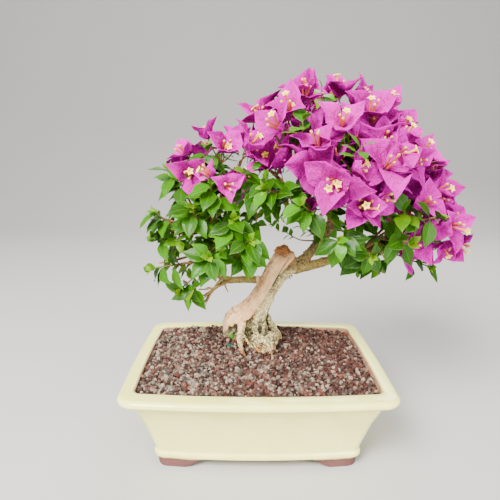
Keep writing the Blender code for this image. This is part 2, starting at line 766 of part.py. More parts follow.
def grow_leaf(spray, others, corner, next_corner, centre, share):
    """One leaf between two corners of a stem, or None if there is no room for it."""
    chance = spray.chance
    corners = (corner, next_corner)
    root = (corner + next_corner) / 2.0
    radial = (root - centre).normalized()
    sideways = (next_corner - corner).normalized()
    for attempt in range(TRIES):
        rise = math.radians(chance.uniform(*LEAF_RISE) + LAST_RISE * (share == 1.0))
        sweep = chance.uniform(-LEAF_SWEEP, LEAF_SWEEP)
        along = radial * math.cos(rise) + spray.way * math.sin(rise) + sideways * sweep
        along.z -= chance.uniform(0.0, LEAF_SAG)
        length = chance.uniform(*LEAF_LENGTH) * (1.0 - 0.2 * share) * (1.0 - SHRINK * attempt / TRIES)
        up = spray.way + Vector((chance.uniform(-0.2, 0.2), chance.uniform(-0.3, 0.1), 0.5))
        fold = chance.uniform(*LEAF_FOLD)
        droop = chance.uniform(*LEAF_DROOP)
        slant = along.normalized().dot(spray.way)
        if not LEAF_SLANT[0] < slant < LEAF_SLANT[1] or along.normalized().cross(up).length < 0.3:
            continue
        leaf = Blade(root, along, up, length, LEAF_OUTLINE, fold, droop)
        if spray.is_clear(leaf.tree(corners, BLADE + 2.0 * GAP), others):
            spray.blades.append(leaf.tree(corners, BLADE))
            return leaf
    return None


def grow_bunch(bunch, others):
    """Set a bloom on a stalk at each side of the head of a bunch, each turned until it is clear."""
    chance = bunch.chance
    across, up = axes_of(bunch.way)
    turn = chance.uniform(0.0, 2.0 * math.pi)
    rings = [stem_ring(end, bunch.way, STEM_RADIUS, turn) for end in (bunch.foot, bunch.head)]
    apex = bunch.head + bunch.way * STEM_TIP
    stalks = []
    for k in range(3):
        base = (rings[1][k], rings[1][(k + 1) % 3], apex)
        bloom = None
        for attempt in range(TRIES):
            angle = turn + (2 * k + 1) * math.pi / 3.0 + chance.uniform(-STALK_SWING, STALK_SWING)
            tilt = math.radians(chance.uniform(*STALK_TILT))
            radial = across * math.cos(angle) + up * math.sin(angle)
            along = (bunch.way * math.cos(tilt) + radial * math.sin(tilt)).normalized()
            size = chance.uniform(*BRACT_LENGTH) * (1.0 - SHRINK * attempt / TRIES)
            bloom = try_bloom(bunch, others, base, along, size)
            if bloom is None:
                continue
            trial = bunch_shape(rings, apex, stalks + [bloom] + [None] * (2 - k))
            crossed = meets_itself(trial)
            trial.free()
            if not crossed:
                bunch.blades += bloom.trees
                bunch.stems += bloom.stems
                break
            bloom = None
        stalks.append(bloom)
    bunch.solid = bunch_shape(rings, apex, stalks)


def fitting_turn(corners, way):
    """The turn at which a ring round a way lies best in line with three corners."""
    across, up = axes_of(way)
    middle = sum(corners, Vector()) / 3.0
    total = Vector((0.0, 0.0))
    for k, corner in enumerate(corners):
        arm = corner - middle
        angle = math.atan2(arm.dot(up), arm.dot(across)) - k * 2.0 * math.pi / 3.0
        total += Vector((math.cos(angle), math.sin(angle)))
    return math.atan2(total.y, total.x)


def try_bloom(bunch, others, base, along, size):
    """A bloom on a stalk from three corners, in one direction, or None if it meets something."""
    chance = bunch.chance
    foot = sum(base, Vector()) / 3.0
    turn = fitting_turn(base, along)
    middle = bunch.head + along * chance.uniform(*STALK)
    tip = middle + along * FLOWER_LENGTH
    low = stem_ring(middle, along, STALK_RADIUS, turn)
    high = stem_ring(middle + along * SOCKET, along, STALK_RADIUS, turn)
    cup = math.radians(chance.uniform(*BRACT_CUP))
    bracts = []
    guards = []
    for k in range(3):
        corners = (low[k], low[(k + 1) % 3])
        root = (corners[0] + corners[1]) / 2.0
        radial = (root - middle).normalized()
        rise = cup + math.radians(chance.uniform(-BRACT_SPREAD, BRACT_SPREAD))
        way = radial * math.cos(rise) + along * math.sin(rise)
        length = size * chance.uniform(0.9, 1.05)
        fold = chance.uniform(*BRACT_FOLD)
        droop = chance.uniform(*BRACT_DROOP)
        bracts.append(Blade(root, way, along, length, BRACT_OUTLINE, fold, droop))
        guards.append((bracts[-1], corners))
    stalk = tube_tree([(foot + along, STALK_RADIUS), (middle, STALK_RADIUS)], margin=GAP)
    flower = tube_tree([(middle, STALK_RADIUS), (tip, FLOWER_RADIUS)], margin=GAP)
    trees = [blade.tree(corners, BLADE + 2.0 * GAP) for blade, corners in guards]
    if not all(bunch.is_clear(tree, others, own_stems=True) for tree in trees):
        return None
    if not (bunch.is_clear(stalk, others) and bunch.is_clear(flower, others)):
        return None
    trees = [blade.tree(corners, BLADE) for blade, corners in guards]
    return Bloom([low, high, stem_ring(tip, along, FLOWER_RADIUS, turn)], bracts, trees, [stalk, flower])


def make_foliage(home, leaf_green, bract_magenta, paths):
    """All bunches and sprays, clear of each other and of the wood."""
    bunches = [Cluster(f"bloom_bunch_{i:02d}", place) for i, place in enumerate(BUNCHES, start=1)]
    sprays = [Cluster(f"leaf_spray_{i:02d}", place) for i, place in enumerate(SPRAYS, start=1)]
    others = [Obstacle(paths)] + bunches + sprays
    for bunch in bunches:
        grow_bunch(bunch, others)
    for spray in sprays:
        grow_spray(spray, others)
    bodies = []
    for cluster in bunches + sprays:
        body = mesh_object(cluster.name, cluster.solid, home)
        bodies.append(dress(body, cluster.name, bract_magenta if cluster.is_bunch else leaf_green))
    return bodies


def stand_on_origin(parts):
    """Hang all parts on an empty that brings the middle of their footprint's box to the origin."""
    corners = [v.co for part in parts for v in part.data.vertices]
    middle = [(min(c[k] for c in corners) + max(c[k] for c in corners)) / 2.0 for k in (0, 1)]
    lowest = min(c.z for c in corners)
    anchor = bpy.data.objects.new("bonsai_origin", None)
    bpy.context.scene.collection.objects.link(anchor)
    anchor.location = (-middle[0], -middle[1], -lowest)
    for part in parts:
        part.parent = anchor


def main():
    """Build the bonsai."""
    clear_scene()
    home = new_collection("bougainvillea_bonsai")
    cream = finish("cream glaze", (0.80, 0.76, 0.55), 0.22)
    grit = finish("lava grit", (0.30, 0.20, 0.21), 0.9)
    bark = finish("bark", (0.42, 0.30, 0.20), 0.85)
    green = finish("leaf green", (0.13, 0.36, 0.04), 0.4)
    magenta = finish("bract magenta", (0.62, 0.03, 0.52), 0.6)
    plastic = finish("mesh plastic", (0.02, 0.02, 0.02), 0.5)

    paths = {name: limb_path(name) for name in LIMBS}
    twigs = [twig_path(place, paths) for place in BUNCHES + SPRAYS]
    pot = make_pot(home, cream)
    soil = make_soil(home, grit)
    wood = make_wood(home, bark, paths, twigs)
    meshes = [make_drain_mesh(f"drain_mesh_{i}", side, home, plastic) for i, side in ((1, -1), (2, 1))]
    foliage = make_foliage(home, green, magenta, list(paths.values()) + twigs)
    stand_on_origin([pot, soil, wood, *meshes, *foliage])


main()
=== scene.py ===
"""Looks of a bougainvillea bonsai in a glazed rectangular pot.

Sizes and places are in millimetres from the middle of the pot, at the height of
the surface it stands on: X to the right, Y to the back, Z up. Each finished mesh
is brought into the frame, in metres, as its last step.
"""
import logging
import math
import random
from dataclasses import dataclass
from enum import Enum
from typing import Callable, Iterable, Iterator, Optional, Sequence, Union

import bmesh
import bpy
from mathutils import Matrix, Vector, noise
from mathutils.bvhtree import BVHTree
from mathutils.kdtree import KDTree


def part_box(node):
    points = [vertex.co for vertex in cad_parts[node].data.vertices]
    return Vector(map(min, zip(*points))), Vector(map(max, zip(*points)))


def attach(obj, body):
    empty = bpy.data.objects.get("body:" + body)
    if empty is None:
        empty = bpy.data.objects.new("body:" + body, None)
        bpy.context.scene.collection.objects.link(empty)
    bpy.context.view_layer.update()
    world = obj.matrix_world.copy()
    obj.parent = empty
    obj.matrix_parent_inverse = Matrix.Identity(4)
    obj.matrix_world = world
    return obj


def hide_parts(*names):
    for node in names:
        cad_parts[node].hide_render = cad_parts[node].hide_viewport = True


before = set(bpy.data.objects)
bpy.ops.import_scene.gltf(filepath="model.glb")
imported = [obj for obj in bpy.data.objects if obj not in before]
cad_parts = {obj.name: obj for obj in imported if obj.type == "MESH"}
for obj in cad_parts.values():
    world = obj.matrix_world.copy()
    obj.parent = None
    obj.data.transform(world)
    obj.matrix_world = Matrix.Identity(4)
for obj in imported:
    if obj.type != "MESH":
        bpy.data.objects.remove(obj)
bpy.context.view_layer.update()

LOG = logging.getLogger("bonsai")
MM = 0.001
GAP = 0.35                          # room between a twig's end and the stem that goes on from it

Place = tuple[float, float, float]
Colour = tuple[float, float, float]
Rows = Sequence[tuple[float, float, float, float]]
Path = list[tuple[Vector, float]]
Number = Union[float, "Signal"]
Shape = bmesh.types.BMesh
Vert = bmesh.types.BMVert
Edge = bmesh.types.BMEdge
Material = bpy.types.Material
Piece = bpy.types.Object
RIGHT, BACK, UP = Vector((1.0, 0.0, 0.0)), Vector((0.0, 1.0, 0.0)), Vector((0.0, 0.0, 1.0))

# Wood: (x, y, radius) of each foot, and (x, y, z, radius) along each limb
FEET: dict[str, Place] = {
    "old_stem": (-21.0, 34.0, 15.0),
    "live_stem": (7.0, 30.0, 12.0),
    "knob": (10.0, 14.0, 13.0),
    "front_root": (-13.0, -3.0, 5.0),
    "right_root": (25.0, 42.0, 6.0),
    "back_root": (-26.0, 55.0, 8.0),
}
# The pit layer carries painted shade for the bark's cracks, hollows and dents, and for the underside of the old
# stem's bulge.
BARK_LAYERS = ("rough", "stub", "pit", "young", "limb", "along", "turn")
ROOT_DEPTH = 64.0
HOLE_TOP = 89.0
LIMBS: dict[str, Rows] = {
    "old_stem": [(-21, 34, 97, 16.5), (-20, 33, 107, 16.5), (-13, 31, 119, 13), (-5, 30, 130, 10),
                 (2, 29, 141, 8.6), (16, 28, 164, 8), (22, 27, 178, 7.2), (27, 27, 190, 7.6)],
    "live_stem": [(5, 28, 100, 10.5), (6, 26, 112, 8.8), (11, 25, 132, 8), (26, 25, 157, 7.8),
                  (40, 25, 170, 8.2), (48, 25, 178, 7.4), (59, 22, 191, 6.4), (69, 18, 208, 5.6),
                  (77, 14, 228, 5), (80, 10, 252, 4.2), (81, 6, 275, 3.4), (82, 4, 298, 2.4)],
    "knob": [(10, 15, 93, 13.6), (8, 19, 101, 10.5), (5, 25, 110, 6)],
    "front_root": [(-14, 2, 95, 5.4), (-14, 13, 106, 6), (-9, 25, 117, 6)],
    "right_root": [(21, 39, 97, 6.5), (13, 33, 108, 7), (8, 28, 118, 6)],
    "back_root": [(-24, 51, 97, 9), (-19, 42, 107, 10), (-12, 33, 116, 9)],
    "left_high": [(77, 14, 226, 4), (59, 8, 240, 3), (32, 2, 249, 2.6), (3, -2, 251, 2.3),
                  (-41, -8, 257, 1.7)],
    "crown_left": [(81, 7, 270, 3), (60, 0, 288, 2.6), (34, -6, 307, 1.7)],
    "crown_right": [(81, 10, 254, 3), (103, 14, 274, 2.7), (148, 14, 305, 1.8)],
    "crown_front": [(79, 10, 244, 3), (77, -20, 258, 2.5), (77, -50, 270, 1.8)],
    "crown_back": [(78, 14, 234, 3.4), (86, 48, 258, 2.8), (95, 82, 286, 1.9)],
    "right_low": [(38, 27, 167, 6), (58, 24, 172, 5), (76, 18, 179, 4.4), (100, 12, 185, 3.8),
                  (126, 8, 191, 3.2), (151, 6, 200, 2.6), (180, 4, 214, 1.8)],
    "right_front": [(90, 15, 182, 2.8), (101, -12, 198, 2.2), (111, -36, 212, 1.6)],
    "right_back": [(108, 11, 187, 3), (140, 48, 197, 2.5), (172, 76, 218, 1.7)],
    "right_up": [(139, 8, 196, 2.6), (157, 10, 221, 2.2), (169, 10, 248, 1.6)],
    "left_low": [(0, 30, 154, 3.8), (-15, 35, 153, 3.6), (-31, 37, 152, 3.6), (-46, 34, 161, 3),
                 (-60, 26, 174, 2.4), (-76, 18, 190, 1.7)],
    "left_drop": [(-30, 37, 152, 2.2), (-43, 30, 146, 1.7), (-55, 22, 138, 1.3)],
    "left_back": [(-38, 36, 156, 2.4), (-43, 60, 171, 2), (-51, 78, 190, 1.5)],
    "left_up": [(-46, 34, 161, 2.6), (-49, 20, 188, 2.2), (-50, 8, 211, 1.9), (-52, 0, 232, 1.4)],
    "high_back": [(32, 2, 249, 2.4), (19, 38, 264, 2), (5, 66, 276, 1.5)],
}
# The trunk's limbs as carved, with more knots than the solids have: (x, y, z, radius)
TRUNK_FORM: dict[str, Rows] = {
    "old_stem": [(-22, 36, 88, 15), (-21.5, 35, 97, 15.6), (-21, 33.5, 106, 15), (-15.5, 32, 113, 12.8),
                 (-7.5, 31, 121.5, 9.9), (0, 30, 132, 9.1), (6.2, 29, 142, 8.9), (12, 28.5, 153, 8.9),
                 (17.5, 28, 164, 8.9), (23.3, 27.5, 175, 8.9), (27, 27, 182.5, 8.6)],
    "side_strand": [(9, 25, 136, 1.6), (14, 24, 144, 2.4), (20.5, 23.5, 155, 3.0), (27, 23.5, 166, 3.5),
                    (33, 24.5, 175, 4.4), (37, 25.5, 180.5, 4.6)],
    "live_stem": [(6, 30, 90, 8.6), (6, 29, 98, 7), (6.5, 27, 108, 5.4), (8, 25.5, 118, 4.8), (11, 25, 130, 5.2),
                  (15, 25, 140, 5.4), (20, 25, 150, 5.5), (26, 25, 159, 6), (33, 25, 166, 6.5), (41, 25, 172, 6),
                  (49, 25, 178, 5.4), (58.5, 22, 190, 5), (69, 18, 208, 4.8), (77, 14, 228, 4.6),
                  (80, 10, 252, 4), (81, 6, 275, 3.4), (82, 4, 298, 2.4)],
    "ridge": [(6.4, 11.5, 99, 2.6), (6.4, 13.5, 105, 2.9), (6.4, 16.5, 113, 3.4), (8, 20, 123, 4.0),
              (12.5, 22, 134, 4.2), (17, 23.5, 143, 3.8)],
    "middle_strand": [(-1, 11.5, 100, 3.2), (-1.2, 13, 106, 3.7), (-0.9, 15.5, 112, 3.4), (1.3, 19, 120, 2.8),
                      (5, 22.5, 128, 2.2)],
    "knob": [(9, 15, 87, 11.5), (8, 14, 92, 10), (7, 16, 97, 7)],
    "front_root": [(-14, -4, 82, 3.2), (-16.5, -1, 90, 3.3), (-18, 4, 96, 3.5), (-17, 10.5, 102, 4.1),
                   (-15.5, 18, 108, 5.6)],
    "right_root": [(24, 40, 86, 4.4), (21, 34, 95, 3.8), (17, 28, 103, 3.4), (12.5, 26, 112, 3.4),
                   (9, 27, 119, 3.6)],
    "back_root": [(-25.5, 54, 89, 8.2), (-24, 51, 97, 8.6), (-19, 42, 107, 9.5), (-12, 33, 114, 8.6)],
}
OLD_PARTS = ("old_stem", "side_strand", "back_root", "front_root")
LIVE_PARTS = ("live_stem", "ridge", "middle_strand", "knob")
ROOTLETS = (((13.5, 4, 96, 2.6), (14.5, -1, 89, 2.1), (15.2, -3, 80, 2.1)),
            ((-6, 2, 92, 2.4), (-1, -1.5, 87.5, 2.6), (5, -2.5, 86, 2.6), (12, -1.5, 87, 2.2)),
            ((-14, 7, 101, 1.6), (-10, 3, 95, 1.8), (-7.5, 0, 88, 1.7)))
COLLAR = ((9, 29, 152, 4.8), (1, 30.5, 154, 4.1), (-5, 32, 154, 3.6))
# Wood that fills the groove between the two stems, and lumps of the bark
GRAFT = ((-6, 30, 86, 10), (-5, 30, 98, 8.4), (-2, 29.5, 108, 6.8), (1.5, 28.5, 116, 5.4), (6, 27.5, 128, 5.4),
         (11.5, 27, 140, 6), (17.5, 26.5, 152, 6.5), (25, 26.5, 162, 6.8), (32, 27, 169, 6.3), (40, 27, 173, 5.3))
LUMPS = ((26.5, 26, 188, 4.6), (23.3, 25.5, 187.4, 4.2), (29, 26, 188.5, 4.4), (32.5, 26, 184.5, 4.6),
         (31, 26, 178.5, 6.2), (35.5, 25.5, 181.5, 4.4), (19.8, 24.6, 187.2, 1.9), (17.2, 24.3, 187.6, 1.3),
         (40, 25, 176, 4.6),
         (0, 12, 92, 8.0), (8, 10.5, 93.5, 9.2), (15.5, 13, 93, 8.0), (3, 9, 91, 6), (12, 8.5, 90, 6.5),
         (-7, 27, 134, 1.8), (0, 26.5, 145, 1.6), (6.5, 26, 156, 1.6))
# Hollows of the trunk's foot, carved in and darkened with painted shade: (x, y, z, reach)
HOLLOWS = ((-6.5, 16.5, 109, 2.4), (-6.8, 14, 103, 2.8), (-7.5, 11, 97, 2.6), (-22.5, 19, 105, 3.6),
           (-29.5, 21, 102, 3.0), (12, 13, 105, 2.8), (2.8, 12.5, 104, 2.2))
# Old twigs without leaves, each as (x, y, z, radius) along it, and how fresh its bark is
OLD_TWIGS = ((0.1, ((-37, 33, 155, 1.7), (-42, 28, 150, 1.5), (-50, 25.5, 139, 1.4), (-56, 24, 130, 1.3))),
             (0.15, ((-26, 34, 153, 1.4), (-38, 24, 149, 1.0), (-52, 14, 148, 0.8), (-60, 6, 150, 0.7))),
             (0.2, ((-49, 20, 188, 1.9), (-49.5, 15, 196, 1.7), (-50, 13, 201, 1.5))),
             (0.4, ((-49, 19, 190, 1.5), (-62, 13, 193, 1.2), (-72, 10, 192, 1.0))),
             (0.3, ((-68, 22, 182, 1.4), (-84, 14, 179, 1.1), (-100, 8, 177, 0.8))),
             (1.0, ((-50, 10, 208, 1.5), (-75, 5, 217, 1.2), (-105, 2, 227, 0.8))),
             (1.0, ((-49.5, 14, 200, 1.4), (-46, 9, 210, 1.1), (-51, 5, 225, 0.8))),
             (0.0, ((31, 24, 161, 0.8), (32, 22, 157, 0.5))),
             (0.0, ((33.5, 24, 162, 0.8), (35, 22, 157, 0.5))),
             (0.0, ((36, 24, 163, 0.8), (37, 22, 159, 0.5))))
TRUNK_LIMBS = ("old_stem", "live_stem", "knob", "front_root", "right_root", "back_root")

# Foliage: the place of each spray and bunch, and the middles of the pads they grow out from
LEFT_PAD: Place = (-40.0, 20.0, 190.0)
CROWN: Place = (88.0, 14.0, 222.0)
SPRAYS: tuple[Place, ...] = (
    (-78, -8, 214), (-76, 2, 196), (-76, 6, 177), (-58, 10, 168), (-64, -12, 238),
    (-54, -28, 220), (-43, -26, 190), (-20, -18, 190), (-28, -38, 215), (-46, -18, 264),
    (-42, -40, 240), (-6, -46, 246), (-72, -8, 246), (-18, -46, 204), (-80, 46, 192),
    (-58, 70, 212), (-22, 84, 230), (22, -52, 246), (46, -58, 236), (72, -50, 214),
    (92, -44, 204), (114, -42, 212), (134, -36, 226), (138, -8, 190), (120, 42, 182),
    (84, 72, 204), (176, 42, 202), (20, 40, 270),
)
BUNCHES: tuple[Place, ...] = (
    (-62, -12, 268), (-36, -8, 288), (-18, -26, 282), (-34, -44, 262), (12, -24, 306),
    (38, -6, 325), (84, 2, 321), (38, -56, 284), (66, -70, 272), (88, -62, 252),
    (100, -62, 280), (98, -20, 306), (116, 4, 303), (120, -26, 286), (150, -2, 268),
    (148, -28, 240), (173, -4, 214), (144, -18, 204), (58, 48, 324), (106, 46, 316),
    (84, 86, 302), (142, 60, 288), (170, 58, 262), (180, 48, 232), (16, 54, 294),
    (106, 104, 264), (150, 92, 240),
)
# Growth in front that closes the crown: (x, y, z, length of its bracts or leaves)
FRONT_BLOOMS: Rows = (
    (-48, -20, 297, 23), (-2, -20, 315, 26), (18, -25, 322, 22), (16, -50, 308, 30), (25, -40, 322, 28),
    (-18, -45, 288, 28), (34, -62, 286, 30), (48, -72, 290, 30), (67, -55, 309, 29), (74, -10, 339, 26),
    (93, -10, 335, 24), (63, -80, 267, 32), (101, -70, 275, 34), (94, -40, 320, 28), (112, -30, 320, 26),
    (128, -12, 309, 25), (147, -15, 287, 26), (168, -15, 269, 25), (161, -30, 254, 25), (168, -35, 229, 29),
    (186, -20, 204, 25), (132, -30, 200, 25), (154, -15, 200, 24), (77, -75, 246, 27), (45, -20, 308, 27),
    (61, 0, 337, 26), (99, -50, 299, 29), (123, -35, 300, 28), (157, -30, 238, 27), (-31, -40, 257, 23),
    (49, -5, 347, 25), (-68, -10, 280, 23),
)
FRONT_TWIGS: Rows = (
    (-68, -5, 149, 25), (-38, -30, 192, 26), (-15, -20, 197, 24), (-75, -20, 206, 17), (-104, 0, 227, 13),
    (-92, 0, 210, 15), (-91, 5, 187, 15), (-9, 5, 200, 15), (-50, -30, 241, 18), (-31, -35, 220, 20),
    (-59, -25, 281, 18), (-45, -35, 268, 18), (-74, -10, 252, 15), (-9, -45, 273, 22), (1, -50, 258, 25),
    (18, -55, 257, 26), (35, -45, 256, 20), (51, -40, 256, 18), (63, -50, 239, 20), (33, -66, 314, 21),
    (52, -44, 338, 19), (78, -84, 294, 18), (83, -40, 225, 17), (77, -45, 212, 24), (100, -45, 219, 20),
    (110, -50, 235, 20), (125, -55, 240, 26), (126, -45, 212, 22), (113, -30, 204, 18), (103, 10, 170, 12),
    (61, 10, 207, 16), (-8, 20, 225, 16), (-23, 10, 201, 16), (-69, 10, 175, 15), (-65, -20, 230, 17),
    (-54, -30, 281, 16), (-47, -38, 271, 15), (-39, -42, 262, 16), (-25, -44, 244, 20), (-14, -45, 256, 20),
    (-63, -28, 265, 15), (-71, -20, 273, 14), (29, 25, 207, 13), (44, 25, 215, 14), (18, 20, 216, 13),
    (34, 10, 228, 16), (6, 5, 230, 16), (92, -42, 224, 18), (-18, -20, 223, 18), (-3, -10, 219, 16),
)
BUNCH_SETBACK = 11.0
OUTWARD_LIFT = 0.25
SPRAY_STEM = 28.0
BUNCH_STEM = 8.0
STEM_TIP = 2.0
TWIG_RADIUS = 1.15
BLADE = 0.7
LEFT_BLOOMS = {1: 0.78, 2: 0.8, 3: 0.8, 4: 0.62}
CROWN_BLOOM = 0.92


class Slot(Enum):
    """The part's material slots."""

    GLAZE = "cream_glaze"
    GRIT = "lava_grit"
    BARK = "bark"
    LEAF = "leaf"
    BRACT = "bract"
    PLASTIC = "mesh_plastic"


def tint(red: int, green: int, blue: int) -> Colour:
    """A colour of light from the values a screen shows it with, 0 to 255."""
    return tuple((c / 255.0 / 12.92) if c < 11 else ((c / 255.0 + 0.055) / 1.055) ** 2.4
                 for c in (red, green, blue))


def portion(value: float, low: float, high: float) -> float:
    """How far a value has come from one bound to another, held between 0 and 1."""
    return min(max((value - low) / (high - low), 0.0), 1.0)


def soft(point: Vector, scale: float, shift: Place = (0.0, 0.0, 0.0)) -> float:
    """Soft noise from -1 to 1."""
    return noise.noise(point * scale + Vector(shift))


# Shader graphs

def operation(name: str, turned: bool = False) -> Callable[..., "Signal"]:
    """A method of Signal that feeds a math node.

    Args:
        name: what the node does.
        turned: whether the signal is the second of the two numbers.

    Returns:
        The method.
    """
    def method(self: "Signal", other: Number = 0.0) -> "Signal":
        """Feed the node with the signal and another number."""
        first, second = (other, self) if turned else (self, other)
        return self.graph.node("ShaderNodeMath", {"operation": name}, {0: first, 1: second})
    return method


class Signal:
    """A shader socket that takes part in arithmetic."""

    __add__ = __radd__ = operation("ADD")
    __sub__ = operation("SUBTRACT")
    __rsub__ = operation("SUBTRACT", turned=True)
    __mul__ = __rmul__ = operation("MULTIPLY")
    at_least = operation("MAXIMUM")
    absolute = operation("ABSOLUTE")
    wave = operation("SINE")

    def __init__(self, graph: "Graph", socket: bpy.types.NodeSocket) -> None:
        self.graph = graph
        self.socket = socket

    def step(self, low: float, high: float) -> "Signal":
        """A smooth step from 0 at one value to 1 at another.

        Args:
            low: the value that gives 0.
            high: the value that gives 1; it may be the smaller one.

        Returns:
            The step.
        """
        risen = self.graph.node("ShaderNodeMapRange", {"interpolation_type": "SMOOTHSTEP", "clamp": True},
                                {"Value": self, "From Min": min(low, high), "From Max": max(low, high)})
        return 1.0 - risen if low > high else risen


class Graph:
    """A new material and the nodes that feed its Principled shader."""

    def __init__(self, name: str) -> None:
        self.material = bpy.data.materials.new(name)
        self.material.use_nodes = True
        self.tree = self.material.node_tree
        self.shader = self.tree.nodes["Principled BSDF"]

    def node(self, kind: str, settings: dict, inputs: dict, output: Union[int, str] = 0) -> Signal:
        """Add a node.

        Args:
            kind: the node's type.
            settings: its own properties, set before its sockets.
            inputs: values or signals by socket name or number.
            output: the output socket to return.

        Returns:
            The chosen output.
        """
        made = self.tree.nodes.new(kind)
        for key, value in settings.items():
            setattr(made, key, value)
        for key, value in inputs.items():
            self.feed(made.inputs[key], value)
        return Signal(self, made.outputs[output])

    def feed(self, socket: bpy.types.NodeSocket, value: Union[Number, Sequence[float]]) -> None:
        """Link a signal to a socket, or set its value.

        Args:
            socket: the socket.
            value: the signal, number, vector or colour.
        """
        if isinstance(value, Signal):
            self.tree.links.new(value.socket, socket)
        elif isinstance(value, (tuple, list)) and len(value) == 3 and socket.type == "RGBA":
            socket.default_value = (*value, 1.0)
        else:
            socket.default_value = value

    def place(self) -> Signal:
        """The point on the object, in metres."""
        return self.node("ShaderNodeTexCoord", {}, {}, "Object")

    def chart(self) -> Signal:
        """The piece's own UV map."""
        return self.node("ShaderNodeTexCoord", {}, {}, "UV")

    def attribute(self, name: str, output: str = "Fac") -> Signal:
        """A value stored on the mesh."""
        return self.node("ShaderNodeAttribute", {"attribute_name": name}, {}, output)

    def axis(self, vector: Signal, name: str) -> Signal:
        """One coordinate of a vector."""
        return self.node("ShaderNodeSeparateXYZ", {}, {0: vector}, name)

    def stretched(self, vector: Signal, scale: Colour) -> Signal:
        """A vector with its coordinates scaled."""
        return self.node("ShaderNodeVectorMath", {"operation": "MULTIPLY"}, {0: vector, 1: scale})

    def shifted(self, vector: Signal, other: Signal) -> Signal:
        """The sum of two vectors."""
        return self.node("ShaderNodeVectorMath", {"operation": "ADD"}, {0: vector, 1: other})

    def distance(self, vector: Signal, point: Place) -> Signal:
        """How far a vector is from a point."""
        return self.node("ShaderNodeVectorMath", {"operation": "DISTANCE"}, {0: vector, 1: point}, "Value")

    def noise(self, vector: Signal, scale: float, detail: float = 2.0, roughness: float = 0.5) -> Signal:
        """Soft noise from 0 to 1."""
        return self.node("ShaderNodeTexNoise", {}, {
            "Vector": vector, "Scale": scale, "Detail": detail, "Roughness": roughness})

    def cells(self, vector: Signal, scale: float, feature: str = "F1") -> Signal:
        """A cell pattern."""
        inputs = {"Vector": vector, "Scale": scale}
        return self.node("ShaderNodeTexVoronoi", {"feature": feature}, inputs, "Distance")

    def mix(self, factor: Number, first: Union[Signal, Colour], second: Union[Signal, Colour],
            blend: str = "MIX") -> Signal:
        """Blend two colours.

        Args:
            factor: the share of the second.
            first: the colour at 0.
            second: the colour at 1.
            blend: the way they blend.

        Returns:
            The blended colour.
        """
        settings = {"data_type": "RGBA", "blend_type": blend}
        return self.node("ShaderNodeMix", settings, {0: factor, 6: first, 7: second}, 2)

    def ramp(self, value: Signal, stops: Sequence[tuple[float, Colour]]) -> Signal:
        """A colour by value.

        Args:
            value: the value.
            stops: (value, colour) pairs in order.

        Returns:
            The colour.
        """
        colour = self.node("ShaderNodeValToRGB", {}, {0: value}, "Color")
        elements = colour.socket.node.color_ramp.elements
        while len(elements) < len(stops):
            elements.new(1.0)
        for element, (position, tone) in zip(elements, stops):
            element.position = position
            element.color = (*tone, 1.0)
        return colour

    def bump(self, height: Signal, strength: float, distance: float, under: Optional[Signal] = None) -> Signal:
        """A normal from a height.

        Args:
            height: the height, 1 for one distance.
            strength: how strongly it shows.
            distance: the depth in metres.
            under: a normal that it builds on.

        Returns:
            The normal.
        """
        inputs = {"Strength": strength, "Distance": distance, "Height": height}
        if under is not None:
            inputs["Normal"] = under
        return self.node("ShaderNodeBump", {}, inputs)

    def finish(self, **inputs: Union[Number, Sequence[float]]) -> Material:
        """Feed the shader's sockets.

        Args:
            inputs: values or signals by socket name, with _ for a space.

        Returns:
            The material.
        """
        for key, value in inputs.items():
            self.feed(self.shader.inputs[key.replace("_", " ")], value)
        return self.material


# Finishes

